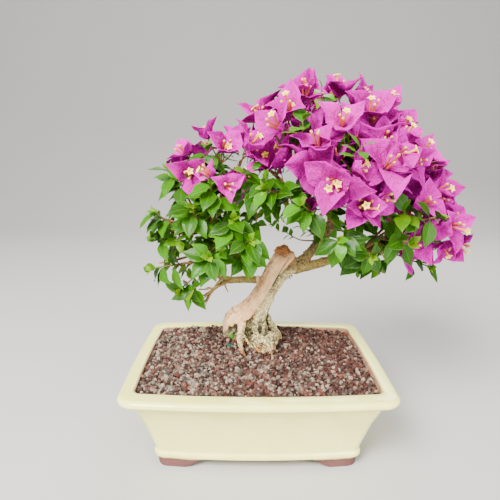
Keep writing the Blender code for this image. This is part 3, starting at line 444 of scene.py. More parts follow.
@dataclass(frozen=True)
class GlazeFinish:
    """Cream glaze, thin and paler at its edges, bare pink clay at the feet and brown clay inside."""

    cream: Colour = tint(250, 246, 150)
    thick: Colour = tint(241, 236, 138)
    edge: Colour = tint(240, 238, 126)
    speck: Colour = tint(150, 118, 50)
    grime: Colour = tint(186, 160, 100)
    break_line: Colour = tint(188, 140, 96)
    clay: Colour = tint(92, 54, 50)
    pale_clay: Colour = tint(116, 74, 68)
    dark_clay: Colour = tint(76, 43, 35)
    inside: Colour = tint(126, 90, 70)
    pale_inside: Colour = tint(172, 128, 98)
    pit: Place = (-0.0351, -0.1124, 0.0681)
    pit_size: float = 0.0009
    glaze_line: float = 0.0086

    def material(self) -> Material:
        """Make the finish.

        Returns:
            The material.
        """
        g = Graph("cream glaze")

        # Cream glaze: thin and paler at its edges, with specks, grime low down and one pinhole
        place = g.place()
        height = g.axis(place, "Z")
        cloud = g.noise(place, 26.0, 3.0)
        drift = g.noise(place, 160.0, 2.0)
        glaze = g.mix(cloud.step(0.35, 0.7), self.thick, self.cream)
        rim_line = height.step(0.0729, 0.0734) * height.step(0.0745, 0.0738)
        rim_line = rim_line * g.noise(place, 38.0, 2.0).step(0.42, 0.62)
        thin = (height.step(0.0788, 0.0806) * height.step(0.0835, 0.081)).at_least(
            height.step(0.0745, 0.0738) * height.step(0.0722, 0.0734))
        glaze = g.mix(thin * 0.75, glaze, self.edge)
        glaze = g.mix(rim_line * 0.35, glaze, self.break_line)
        specks = g.noise(place, 900.0, 1.0)
        glaze = g.mix(specks.step(0.73, 0.78) * 0.22, glaze, self.speck)
        grime = height.step(0.03, 0.008) * g.noise(place, 70.0, 4.0).step(0.4, 0.75)
        glaze = g.mix(grime * 0.18, glaze, self.grime)
        reach = g.distance(g.stretched(place, (1.0, 0.3, 1.0)), (self.pit[0], self.pit[1] * 0.3, self.pit[2]))
        pitted = reach.step(self.pit_size, self.pit_size * 0.5)
        glaze = g.mix(pitted * 0.8, glaze, self.speck)

        # Bare clay below the line where the glaze ends, and inside the pot
        line = height + (g.noise(place, 55.0, 2.0) - 0.5) * 0.0022 + (drift - 0.5) * 0.0006
        bare = line.step(self.glaze_line + 0.0003, self.glaze_line - 0.0003)
        pores = g.noise(place, 1400.0, 3.0)
        clay = g.mix(pores.step(0.35, 0.65), self.clay, self.pale_clay)
        clay = g.mix(cloud.step(0.4, 0.6) * 0.5, clay, self.dark_clay)
        wall = g.mix(g.noise(place, 120.0, 4.0).step(0.3, 0.7), self.inside, self.pale_inside)
        inner = g.attribute("inside")
        worn = line.step(self.glaze_line + 0.0016, self.glaze_line + 0.0004)
        glaze = g.mix(worn * 0.45, glaze, self.break_line)
        colour = g.mix(bare, glaze, clay)
        colour = g.mix(inner, colour, wall)
        dull = bare.at_least(inner)
        relief = g.bump(cloud, 0.16, 0.0012)
        relief = g.bump(drift * 0.4 + specks * 0.1, 0.05, 0.0004, relief)
        relief = g.bump(pores * dull, 0.5, 0.0004, relief)
        return g.finish(Base_Color=colour, Roughness=0.16 + dull * 0.6 + cloud * 0.08,
                        Coat_Weight=0.45 - dull * 0.45, Coat_Roughness=0.08, Normal=relief, Specular_IOR_Level=0.5)


@dataclass(frozen=True)
class SoilFinish:
    """Dark crumbly soil that shows between the grit."""

    dark: Colour = tint(30, 20, 17)
    light: Colour = tint(72, 50, 42)

    def material(self) -> Material:
        """Make the finish.

        Returns:
            The material.
        """
        g = Graph("dark soil")
        place = g.place()
        crumbs = g.cells(place, 520.0)
        colour = g.mix(g.noise(place, 240.0, 4.0).step(0.35, 0.65), self.dark, self.light)
        relief = g.bump(1.0 - crumbs + g.noise(place, 900.0, 2.0) * 0.4, 0.8, 0.001)
        return g.finish(Base_Color=colour, Roughness=0.95, Normal=relief)


@dataclass(frozen=True)
class StoneFinish:
    """Crushed lava, each stone in its own colour."""

    dust: Colour = tint(156, 124, 98)
    shade: Colour = tint(84, 62, 60)

    def material(self) -> Material:
        """Make the finish.

        Returns:
            The material.
        """
        g = Graph("crushed lava")
        place = g.place()
        own = g.attribute("stone", "Color")
        pores = g.cells(place, 1500.0)
        grain = g.noise(place, 700.0, 4.0, 0.6)
        colour = g.mix(grain.step(0.62, 0.3) * 0.5, own, self.shade, "MULTIPLY")
        colour = g.mix(g.noise(place, 420.0, 3.0).step(0.5, 0.8) * 0.35, colour, self.dust)
        # Painted shade: the pores of each stone are darkened
        colour = g.mix(pores.step(0.28, 0.05) * 0.6, colour, self.shade, "MULTIPLY")
        relief = g.bump(pores.step(0.0, 0.45) + grain * 0.8, 0.7, 0.0006)
        return g.finish(Base_Color=colour, Roughness=0.9, Normal=relief, Specular_IOR_Level=0.2)


@dataclass(frozen=True)
class BarkFinish:
    """Bark: smooth tan on the old stem, grey and rough on the live one, red at the stub, orange on twigs."""

    tan: Colour = tint(244, 198, 146)
    tan_dark: Colour = tint(220, 166, 114)
    tan_pale: Colour = tint(250, 220, 172)
    tan_fleck: Colour = tint(116, 78, 50)
    cream: Colour = tint(246, 230, 172)
    cream_warm: Colour = tint(206, 168, 110)
    furrow: Colour = tint(84, 72, 46)
    cut: Colour = tint(166, 108, 62)
    cut_dark: Colour = tint(104, 62, 36)
    twig: Colour = tint(172, 122, 78)
    twig_dark: Colour = tint(120, 78, 48)
    limb_shade: Colour = tint(160, 152, 118)
    lichen_and_pit_shade: Colour = tint(108, 106, 70)
    rust: Colour = tint(160, 84, 30)
    shaded_hollow: Colour = tint(34, 26, 16)

    def material(self) -> Material:
        """Make the finish.

        Returns:
            The material.
        """
        g = Graph("bark")

        # Smooth tan bark with streaks that run along the wood
        place = g.place()
        rough = g.attribute("rough")
        stub = g.attribute("stub")
        pit = g.attribute("pit")
        young = g.attribute("young")
        along = g.attribute("along")
        turn = g.attribute("turn")
        grain = g.node("ShaderNodeCombineXYZ", {}, {0: turn * 7.0, 1: turn * 3.0, 2: along * 3.2})
        streaks = g.noise(g.shifted(grain, g.stretched(place, (24.0, 24.0, 8.0))), 2.2, 6.0, 0.66)
        patches = g.noise(place, 100.0, 4.0, 0.6)
        fine = g.noise(place, 620.0, 4.0, 0.6)
        tan = g.mix(streaks.step(0.38, 0.58), self.tan_dark, self.tan)
        tan = g.mix(patches.step(0.46, 0.66) * 0.6, tan, self.tan_pale)
        tan = g.mix((streaks - 0.5).absolute().step(0.014, 0.0) * 0.5, tan, self.tan_fleck)
        tan = g.mix(fine.step(0.58, 0.70) * 0.30, tan, self.tan_fleck)

        # Rough pale bark in plates, with painted shade in the cracks between the plates
        plates = g.cells(place, 260.0, "DISTANCE_TO_EDGE")
        cream = g.mix(patches.step(0.42, 0.62) * 0.5, self.cream, self.cream_warm)
        cream = g.mix(g.noise(place, 380.0, 3.0).step(0.46, 0.6) * 0.5, cream, self.cream_warm)
        cream = g.mix(fine.step(0.49, 0.66) * 0.55, cream, self.furrow)
        # Painted shade: the furrow colour along the edges of the plates
        cream = g.mix(plates.step(0.07, 0.02) * 0.35, cream, self.furrow)

        # Both on the trunk, then the stub, the branches, the twigs, moss, rusty feet, and painted shade in the
        # pits and hollows
        colour = g.mix(rough, tan, cream)
        colour = g.mix(stub, colour, g.mix(fine.step(0.42, 0.62), self.cut, self.cut_dark))
        colour = g.mix(g.attribute("limb"), colour, self.limb_shade, "MULTIPLY")
        twig = g.mix(g.noise(place, 180.0, 3.0).step(0.35, 0.65), self.twig_dark, self.twig)
        colour = g.mix(young, colour, twig)
        height = g.axis(place, "Z")
        mossy = height.step(0.125, 0.100) * rough * g.noise(place, 110.0, 4.0, 0.7).step(0.50, 0.62) * 0.5
        # Moss low on the rough bark, and painted shade in olive in the shallower pits
        colour = g.mix(mossy.at_least(pit.step(0.05, 0.35) * rough * 0.8), colour, self.lichen_and_pit_shade)
        rusty = height.step(0.094, 0.087) * g.noise(place, 90.0, 3.0).step(0.40, 0.55)
        colour = g.mix(rusty * 0.75, colour, self.rust)
        # Painted shade: the deepest pits and hollows go near black
        colour = g.mix(pit.step(0.30, 0.95) * 0.9, colour, self.shaded_hollow)
        relief = g.bump(streaks, 0.5, 0.0014)
        relief = g.bump(fine + plates * rough * 2.0, 0.7, 0.0007, relief)
        return g.finish(Base_Color=colour, Roughness=0.78 + fine * 0.15, Normal=relief, Specular_IOR_Level=0.25)


@dataclass(frozen=True)
class LeafFinish:
    """A glossy green leaf with a pale midrib and margin."""

    deep: Colour = tint(22, 46, 1)
    mid: Colour = tint(38, 82, 0)
    fresh: Colour = tint(58, 116, 1)
    golden: Colour = tint(110, 132, 5)
    pale: Colour = tint(88, 140, 26)

    def material(self) -> Material:
        """Make the finish.

        Returns:
            The material.
        """
        g = Graph("leaf green")
        chart = g.chart()
        along = g.axis(chart, "X")
        across = (g.axis(chart, "Y") - 0.5).absolute() * 2.0
        tone = g.attribute("tone")
        place = g.place()
        patches = g.noise(place, 150.0, 3.0)
        ribs = (along * 42.0 - across * 13.0).wave()
        colour = g.ramp(tone + (patches - 0.5) * 0.25, (
            (0.0, self.deep), (0.45, self.mid), (0.8, self.fresh), (1.0, self.golden)))
        colour = g.mix(ribs.step(0.72, 1.0) * across.step(1.0, 0.55) * 0.10, colour, self.pale)
        colour = g.mix(across.step(0.09, 0.02) * 0.34, colour, self.pale)
        colour = g.mix(across.step(0.86, 0.98) * 0.26, colour, self.pale)
        relief = g.bump(ribs.step(0.2, 1.0) * 0.4 + across.step(0.12, 0.0), 0.35, 0.0005)
        relief = g.bump(patches, 0.2, 0.001, relief)
        return g.finish(Base_Color=colour, Roughness=0.36 + patches * 0.14, Normal=relief, Specular_IOR_Level=0.12,
                        Coat_Weight=0.07, Coat_Roughness=0.12,
                        Subsurface_Weight=0.12, Subsurface_Radius=(0.5, 1.0, 0.2), Subsurface_Scale=0.001)


@dataclass(frozen=True)
class BractFinish:
    """A papery magenta bract with a net of darker veins."""

    deep: Colour = tint(108, 0, 84)
    bright: Colour = tint(180, 0, 149)
    light: Colour = tint(210, 0, 177)
    vein: Colour = tint(100, 0, 56)
    rib: Colour = tint(168, 44, 74)

    def material(self) -> Material:
        """Make the finish.

        Returns:
            The material.
        """
        g = Graph("bract magenta")
        chart = g.chart()
        along = g.axis(chart, "X")
        across = (g.axis(chart, "Y") - 0.5).absolute() * 2.0
        tone = g.attribute("tone")
        place = g.place()
        cloud = g.noise(place, 90.0, 3.0)
        # Lighter towards the margins: painted light on the rims and painted shade in the cupped middle. The tone
        # and cloud vary at random.
        colour = g.ramp(tone + (cloud - 0.5) * 0.35 + (across - 0.5) * 0.25, (
            (0.0, self.deep), (0.5, self.bright), (1.0, self.light)))
        side = (along * 34.0 - across * 9.0 + cloud * 2.0).wave()
        net = g.cells(g.stretched(chart, (13.0, 10.0, 1.0)), 1.0, "DISTANCE_TO_EDGE")
        colour = g.mix(net.step(0.09, 0.0) * 0.30, colour, self.vein)
        colour = g.mix(side.step(0.88, 1.0) * across.step(0.95, 0.3) * 0.45, colour, self.vein)
        rib = across.step(0.055, 0.01)
        colour = g.mix(rib * along.step(1.0, 0.1) * 0.6, colour, self.rib)
        relief = g.bump(net.step(0.0, 0.25) * 0.6 + side * 0.25 + cloud * 0.7, 0.5, 0.0012)
        return g.finish(Base_Color=colour, Roughness=0.55 + cloud * 0.16, Normal=relief, Specular_IOR_Level=0.02,
                        Subsurface_Weight=0.05, Subsurface_Radius=(1.0, 0.25, 0.9), Subsurface_Scale=0.0005)


@dataclass(frozen=True)
class FlowerFinish:
    """A small tube flower: salmon tube, cream-yellow star."""

    def material(self) -> Material:
        """Make the finish.

        Returns:
            The material.
        """
        g = Graph("tube flower")
        reach = g.attribute("reach")
        speckle = g.noise(g.place(), 500.0, 2.0)
        colour = g.ramp(reach + (speckle - 0.5) * 0.08, (
            (0.0, tint(146, 50, 56)), (0.35, tint(190, 92, 68)), (0.62, tint(214, 138, 84)),
            (0.74, tint(226, 170, 80)), (0.82, tint(242, 214, 56)), (0.92, tint(252, 238, 82)),
            (1.0, tint(232, 150, 2))))
        return g.finish(Base_Color=colour, Roughness=0.5, Normal=g.bump(speckle, 0.3, 0.0004),
                        Subsurface_Weight=0.15, Subsurface_Radius=(1.0, 0.8, 0.4), Subsurface_Scale=0.001)


@dataclass(frozen=True)
class ShootFinish:
    """A young stem or stalk, brown at its foot and green at its tip."""

    def material(self) -> Material:
        """Make the finish.

        Returns:
            The material.
        """
        g = Graph("young shoot")
        reach = g.attribute("reach")
        speckle = g.noise(g.place(), 380.0, 3.0)
        colour = g.ramp(reach + (speckle - 0.5) * 0.3, (
            (0.0, tint(108, 68, 38)), (0.45, tint(112, 84, 42)), (1.0, tint(84, 100, 28))))
        return g.finish(Base_Color=colour, Roughness=0.62, Normal=g.bump(speckle, 0.4, 0.0004))


@dataclass(frozen=True)
class PlasticFinish:
    """Black moulded plastic."""

    def material(self) -> Material:
        """Make the finish.

        Returns:
            The material.
        """
        g = Graph("mesh plastic")
        grain = g.noise(g.place(), 1200.0, 2.0)
        return g.finish(Base_Color=g.mix(grain, tint(22, 24, 23), tint(44, 46, 44)), Roughness=0.5 + grain * 0.2,
                        Normal=g.bump(grain, 0.2, 0.0002))


@dataclass(frozen=True)
class PaperFinish:
    """The plain pale floor."""

    pale: Colour = tint(176, 175, 172)
    dull: Colour = tint(162, 161, 158)

    def material(self) -> Material:
        """Make the finish.

        Returns:
            The material.
        """
        g = Graph("pale floor")
        grain = g.noise(g.place(), 8.0, 2.0)
        return g.finish(Base_Color=g.mix(grain * 0.15, self.pale, self.dull), Roughness=0.85)


# Tools of the bench

@dataclass(frozen=True)
class Bench:
    """Turns meshes in millimetres from the middle of the pot into pieces of the frame."""

    middle: Vector

    def from_frame(self, point: Vector) -> Vector:
        """A point of the frame in millimetres from the middle of the pot."""
        return (point - self.middle) / MM

    def into_frame(self, point: Vector) -> Vector:
        """A point in the frame, in metres."""
        return self.middle + point * MM

    def copy_of(self, node: str) -> Shape:
        """A merged copy of a node of the frame, in millimetres.

        Args:
            node: the node's name.

        Returns:
            The copy.
        """
        shape = bmesh.new()
        shape.from_mesh(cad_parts[node].data)
        for vert in shape.verts:
            vert.co = self.from_frame(vert.co)
        bmesh.ops.remove_doubles(shape, verts=shape.verts, dist=0.02)
        return shape

    def piece(self, name: str, shape: Shape, finishes: Sequence[Material], slot: Slot,
              stands_for: Sequence[str] = (), crease: float = 50.0) -> Piece:
        """Finish a mesh as a piece of the frame.

        Args:
            name: the piece's name.
            shape: its mesh, which is used up.
            finishes: its materials, in the order of its faces' numbers.
            slot: the slot that its finish belongs to; not used.
            stands_for: the nodes that it replaces.
            crease: the angle, in degrees, from which an edge stays sharp.

        Returns:
            The piece.
        """
        bmesh.ops.transform(shape, matrix=Matrix.Translation(self.middle) @ Matrix.Scale(MM, 4), verts=shape.verts)
        mesh = bpy.data.meshes.new(name)
        shape.to_mesh(mesh)
        shape.free()
        for finish in finishes:
            mesh.materials.append(finish)
        mesh.shade_smooth()
        mesh.set_sharp_from_angle(angle=math.radians(crease))
        thing = bpy.data.objects.new(name, mesh)
        bpy.context.scene.collection.objects.link(thing)
        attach(thing, "root")
        if stands_for:
            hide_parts(*stands_for)
        mesh.calc_loop_triangles()
        LOG.info("%s: %d triangles", name, len(mesh.loop_triangles))
        return thing


def ring_edges(shape: Shape, ring: Sequence[Vert]) -> list[Edge]:
    """The edges of a closed ring."""
    return [shape.edges.get((ring[i - 1], ring[i])) for i in range(len(ring))]


def new_shape(*layers: str) -> Shape:
    """A new mesh that holds numbers on its corners.

    Args:
        layers: the numbers' names.

    Returns:
        The mesh.
    """
    shape = bmesh.new()
    for name in layers:
        shape.verts.layers.float.new(name)
    return shape


def new_growth() -> Shape:
    """A new mesh for a blade, stem or flower.

    Returns:
        The mesh, with a map and the numbers that its finish reads.
    """
    shape = new_shape("tone", "reach")
    shape.loops.layers.uv.new("UVMap")
    return shape


def turned_out(shape: Shape, material: int) -> Shape:
    """Turn a mesh's faces outwards and give them a material.

    Args:
        shape: the mesh.
        material: the material's number.

    Returns:
        The mesh.
    """
    bmesh.ops.recalc_face_normals(shape, faces=shape.faces)
    for face in shape.faces:
        face.material_index = material
    return shape


def start_ring(shape: Shape, points: Sequence[Vector]) -> list[Vert]:
    """Make a closed ring of edges.

    Args:
        shape: the mesh.
        points: where its corners go.

    Returns:
        The corners in order.
    """
    ring = bmesh.ops.create_circle(shape, cap_ends=False, segments=len(points), radius=1.0)["verts"]
    for vert, point in zip(ring, points):
        vert.co = point
    return ring


def carry_ring(shape: Shape, ring: Sequence[Vert], points: Sequence[Vector]) -> list[Vert]:
    """Extrude a ring to new points.

    Args:
        shape: the mesh.
        ring: the ring's corners in order.
        points: where the new corners go.

    Returns:
        The new corners in order.
    """
    made = bmesh.ops.extrude_edge_only(shape, edges=ring_edges(shape, ring))["geom"]
    fresh = {item for item in made if isinstance(item, Vert)}
    ahead = []
    for vert in ring:
        ahead.append(next(edge.other_vert(vert) for edge in vert.link_edges if edge.other_vert(vert) in fresh))
    for vert, point in zip(ahead, points):
        vert.co = point
    return ahead


def ways_along(points: Sequence[Vector]) -> list[tuple[Vector, Vector, Vector]]:
    """The way at each point of a path and two directions across it, which do not twist.

    Args:
        points: the path.

    Returns:
        For each point, the way, a first direction across it and a second one.
    """
    ways = []
    across = None
    for i in range(len(points)):
        way = (points[min(i + 1, len(points) - 1)] - points[max(i - 1, 0)]).normalized()
        if across is None:
            across = way.cross(UP)
            if across.length < 0.05:
                across = RIGHT
        across = (across - way * across.dot(way)).normalized()
        ways.append((way, across, way.cross(across)))
    return ways


def swung(first: Vector, second: Vector, angle: float) -> Vector:
    """The way an angle, in radians, off a first way towards a second one."""
    return first * math.cos(angle) + second * math.sin(angle)


def round_points(middle: Vector, across: Vector, up: Vector, radius: float, sides: int,
                 notch: float = 0.0) -> list[Vector]:
    """Points round a middle.

    Args:
        middle: the middle.
        across: the way to the first point.
        up: the way to the point a quarter further on.
        radius: how far they are from the middle.
        sides: how many there are.
        notch: how much every second point is drawn in, from 0 to 1.

    Returns:
        The points in order.
    """
    points = []
    for k in range(sides):
        angle = 2.0 * math.pi * k / sides
        reach = radius * (1.0 - notch * (k % 2))
        points.append(middle + swung(across, up, angle) * reach)
    return points


def loft(shape: Shape, rounds: Iterable[Sequence[Vector]], capped: bool = True) -> list[list[Vert]]:
    """Carry a ring through rounds of points.

    Args:
        shape: the mesh.
        rounds: where the ring's corners go, one round after another.
        capped: whether both ends are closed.

    Returns:
        The rings' corners.
    """
    rings: list[list[Vert]] = []
    for points in rounds:
        rings.append(carry_ring(shape, rings[-1], points) if rings else start_ring(shape, points))
    for ring in (rings[0], rings[-1]) if capped else ():
        bmesh.ops.edgeloop_fill(shape, edges=ring_edges(shape, ring))
    return rings


def sweep(shape: Shape, path: Path, sides: int) -> list[list[Vert]]:
    """Carry a round ring along a path, with closed ends.

    Args:
        shape: the mesh.
        path: (point, radius) along the way.
        sides: corners of the ring.

    Returns:
        The rings' corners.
    """
    ways = ways_along([point for point, _ in path])
    return loft(shape, [round_points(point, across, up, radius, sides)
                        for (point, radius), (_, across, up) in zip(path, ways)])


def smooth_path(knots: Path, step: float) -> Path:
    """Points about one step apart on a smooth curve through knots.

    Args:
        knots: (point, radius) pairs.
        step: the distance between points.

    Returns:
        The points with their radii.
    """
    path = [knots[0]]
    for i in range(len(knots) - 1):
        before = knots[max(i - 1, 0)]
        start, end = knots[i], knots[i + 1]
        after = knots[min(i + 2, len(knots) - 1)]
        count = max(1, round((end[0] - start[0]).length / step))
        for k in range(1, count + 1):
            t = k / count
            weights = (-t ** 3 + 2 * t ** 2 - t, 3 * t ** 3 - 5 * t ** 2 + 2,
                       -3 * t ** 3 + 4 * t ** 2 + t, t ** 3 - t ** 2)
            point = Vector()
            radius = 0.0
            for weight, knot in zip(weights, (before, start, end, after)):
                point += knot[0] * (weight / 2.0)
                radius += knot[1] * (weight / 2.0)
            path.append((point, radius))
    return path


def append(shape: Shape, other: Shape) -> None:
    """Add a mesh to another one.

    Args:
        shape: the mesh that grows.
        other: the mesh that is used up.
    """
    mesh = bpy.data.meshes.new("part")
    other.to_mesh(mesh)
    other.free()
    shape.from_mesh(mesh)
    bpy.data.meshes.remove(mesh)


def mark(shape: Shape, verts: Iterable[Vert], name: str, value: float) -> None:
    """Store a number on corners.

    Args:
        shape: the mesh.
        verts: the corners.
        name: the number's name.
        value: the number.
    """
    layer = shape.verts.layers.float[name]
    for vert in verts:
        vert[layer] = value


# Pot

@dataclass
class Pot:
    """The glazed pot with its cloud feet."""

    height: float = 81.0
    long_bow: float = 6.0
    short_bow: float = 2.0
    foot: tuple[float, float] = (94.0, 68.0)
    foot_width: float = 10.5
    foot_corners: tuple[float, float] = (5.0, 8.5)
    sole_edge: float = 1.0
    foot_flat: float = 25.0
    foot_arch: float = 20.0
    foot_rise: float = 9.2
    underside: float = 9.9
    floor: float = 18.0
    corner_steps: int = 12
    drain_radius: float = 8.0
    drain_spacing: float = 90.0
    drain_sides: int = 24
    outer: tuple[tuple[float, float, float, float], ...] = (
        (94.0, 68.0, 10.4, 8.0), (96.5, 70.5, 11.4, 8.5), (96.5, 70.5, 15.0, 8.5), (95.0, 69.0, 17.0, 8.0),
        (104.0, 78.5, 48.0, 9.0), (113.5, 87.5, 70.5, 11.0), (115.0, 89.0, 72.6, 12.0), (121.0, 94.5, 73.4, 13.5),
        (123.0, 96.5, 75.4, 14.0), (123.0, 96.5, 78.8, 14.0), (120.4, 93.9, 81.0, 13.0))
    inner: tuple[tuple[float, float, float, float], ...] = (
        (112.0, 81.0, 81.0, 6.5), (110.0, 79.0, 79.4, 6.0), (108.5, 77.5, 71.0, 6.0),
        (91.0, 63.0, 22.0, 6.0), (87.0, 59.0, 18.0, 5.0))
    soft_rings: tuple[int, ...] = (4, 5, 6, 9, 10, 11, 12, 13, 14)
    bevel: float = 0.7

    def stations(self, half: float) -> list[float]:
        """Places along one wall, from one corner to the other.

        Args:
            half: half of the length over the feet.

        Returns:
            The places from the middle of the wall.
        """
        arch = [half - self.foot_flat - self.foot_arch * k / 8.0 for k in range(9)]
        middle = [arch[-1] * (1.0 - k / 4.0) for k in range(1, 4)]
        side = arch + middle
        return side + [0.0] + [-s for s in reversed(side)]

    def ring(self, half_x: float, half_y: float, height: float, corner: float) -> list[Vector]:
        """A level ring round the pot.

        Args:
            half_x: half of its length at the corners.
            half_y: half of its depth at the corners.
            height: its height.
            corner: its corner radius.

        Returns:
            Its points.
        """
        points: list[tuple[float, float]] = []
        for sign_x, sign_y, start in ((1, 1, 0.0), (-1, 1, 90.0), (-1, -1, 180.0), (1, -1, 270.0)):
            for step in range(self.corner_steps + 1):
                angle = math.radians(start + 90.0 * step / self.corner_steps)
                points.append((sign_x * (half_x - corner) + corner * math.cos(angle),
                               sign_y * (half_y - corner) + corner * math.sin(angle)))
            if sign_x == sign_y:
                points += [(sign_x * x, sign_y * half_y) for x in self.stations(self.foot[0])]
            else:
                points += [(sign_x * half_x, sign_y * y) for y in self.stations(self.foot[1])]
        ring = []
        for x, y in points:
            out_y = self.long_bow * (1.0 - (x / half_x) ** 2)
            out_x = self.short_bow * (1.0 - (y / half_y) ** 2)
            reach_y = portion(abs(y) - half_y + corner, 0.0, corner) ** 0.5
            reach_x = portion(abs(x) - half_x + corner, 0.0, corner) ** 0.5
            ring.append(Vector((x + math.copysign(out_x * reach_x, x), y + math.copysign(out_y * reach_y, y),
                                height)))
        return ring

    def foot_ring(self, half_x: float, half_y: float, corner: float) -> list[Vector]:
        """A ring lowered to the line of the cloud feet.

        Args:
            half_x: half of its length at the corners.
            half_y: half of its depth at the corners.
            corner: its corner radius.

        Returns:
            Its points.
        """
        lowered = []
        for point in self.ring(half_x, half_y, 0.0, corner):
            on_long = abs(point.y) > half_y - 0.5
            reach = self.foot[0] - abs(point.x) if on_long else self.foot[1] - abs(point.y)
            t = portion(reach - self.foot_flat, 0.0, self.foot_arch)
            lowered.append(Vector((point.x, point.y, self.foot_rise * t * t * (3.0 - 2.0 * t))))
        return lowered

    def build(self, bench: Bench, finish: Material) -> Piece:
        """Make the pot.

        Args:
            bench: the bench.
            finish: its glaze.

        Returns:
            The piece.
        """
        within = (self.foot[0] - self.foot_width, self.foot[1] - self.foot_width)
        without = (self.foot[0] - self.sole_edge, self.foot[1] - self.sole_edge)
        rings = [self.ring(*within, self.underside, self.foot_corners[0]),
                 self.foot_ring(*within, self.foot_corners[0]),
                 self.foot_ring(*without, self.foot_corners[1])]
        rings += [self.ring(*row) for row in self.outer + self.inner]
        shape = new_shape("inside")
        loops = loft(shape, rings, capped=False)
        bare = len(rings) - len(self.inner) + 1
        for loop in loops[bare:]:
            mark(shape, loop, "inside", 1.0)
        soft = [edge for i in self.soft_rings for edge in ring_edges(shape, loops[i])]
        low, high = ring_edges(shape, loops[0]), ring_edges(shape, loops[-1])
        drains = []
        for side in (-1, 1):
            pair = []
            for level in (self.underside, self.floor):
                middle = Vector((side * self.drain_spacing / 2.0, 0.0, level))
                points = round_points(middle, RIGHT, BACK, self.drain_radius, self.drain_sides)
                pair.append(start_ring(shape, points))
            drains.append([ring_edges(shape, ring) for ring in pair])
            mark(shape, pair[1], "inside", 1.0)
        for k, rim in enumerate((low, high)):
            bmesh.ops.triangle_fill(shape, use_beauty=True, edges=rim + drains[0][k] + drains[1][k])
        for pair in drains:
            bmesh.ops.bridge_loops(shape, edges=pair[0] + pair[1])
        bmesh.ops.bevel(shape, geom=soft, affect="EDGES", offset=self.bevel, offset_type="OFFSET", segments=2,
                        profile=0.5, material=-1, clamp_overlap=True)
        bmesh.ops.recalc_face_normals(shape, faces=shape.faces)
        return bench.piece("glazed_pot", shape, [finish], Slot.GLAZE, ["pot"], 40.0)


# Grit

class Stone(Enum):
    """The colours of the grit, each with its share at the left front and at the right back."""

    ASH = (tint(168, 152, 132), 0.36, 0.09)
    SLATE = (tint(98, 86, 76), 0.22, 0.10)
    MAUVE = (tint(108, 69, 59), 0.17, 0.30)
    WINE = (tint(68, 39, 34), 0.13, 0.33)
    PINK = (tint(140, 100, 84), 0.10, 0.12)
    BRICK = (tint(114, 65, 52), 0.02, 0.06)


BEADS = ((-26.4, 11.0, 97.0, 2.9, tint(52, 150, 16)), (-29.5, 3.0, 90.5, 2.8, tint(10, 92, 74)))


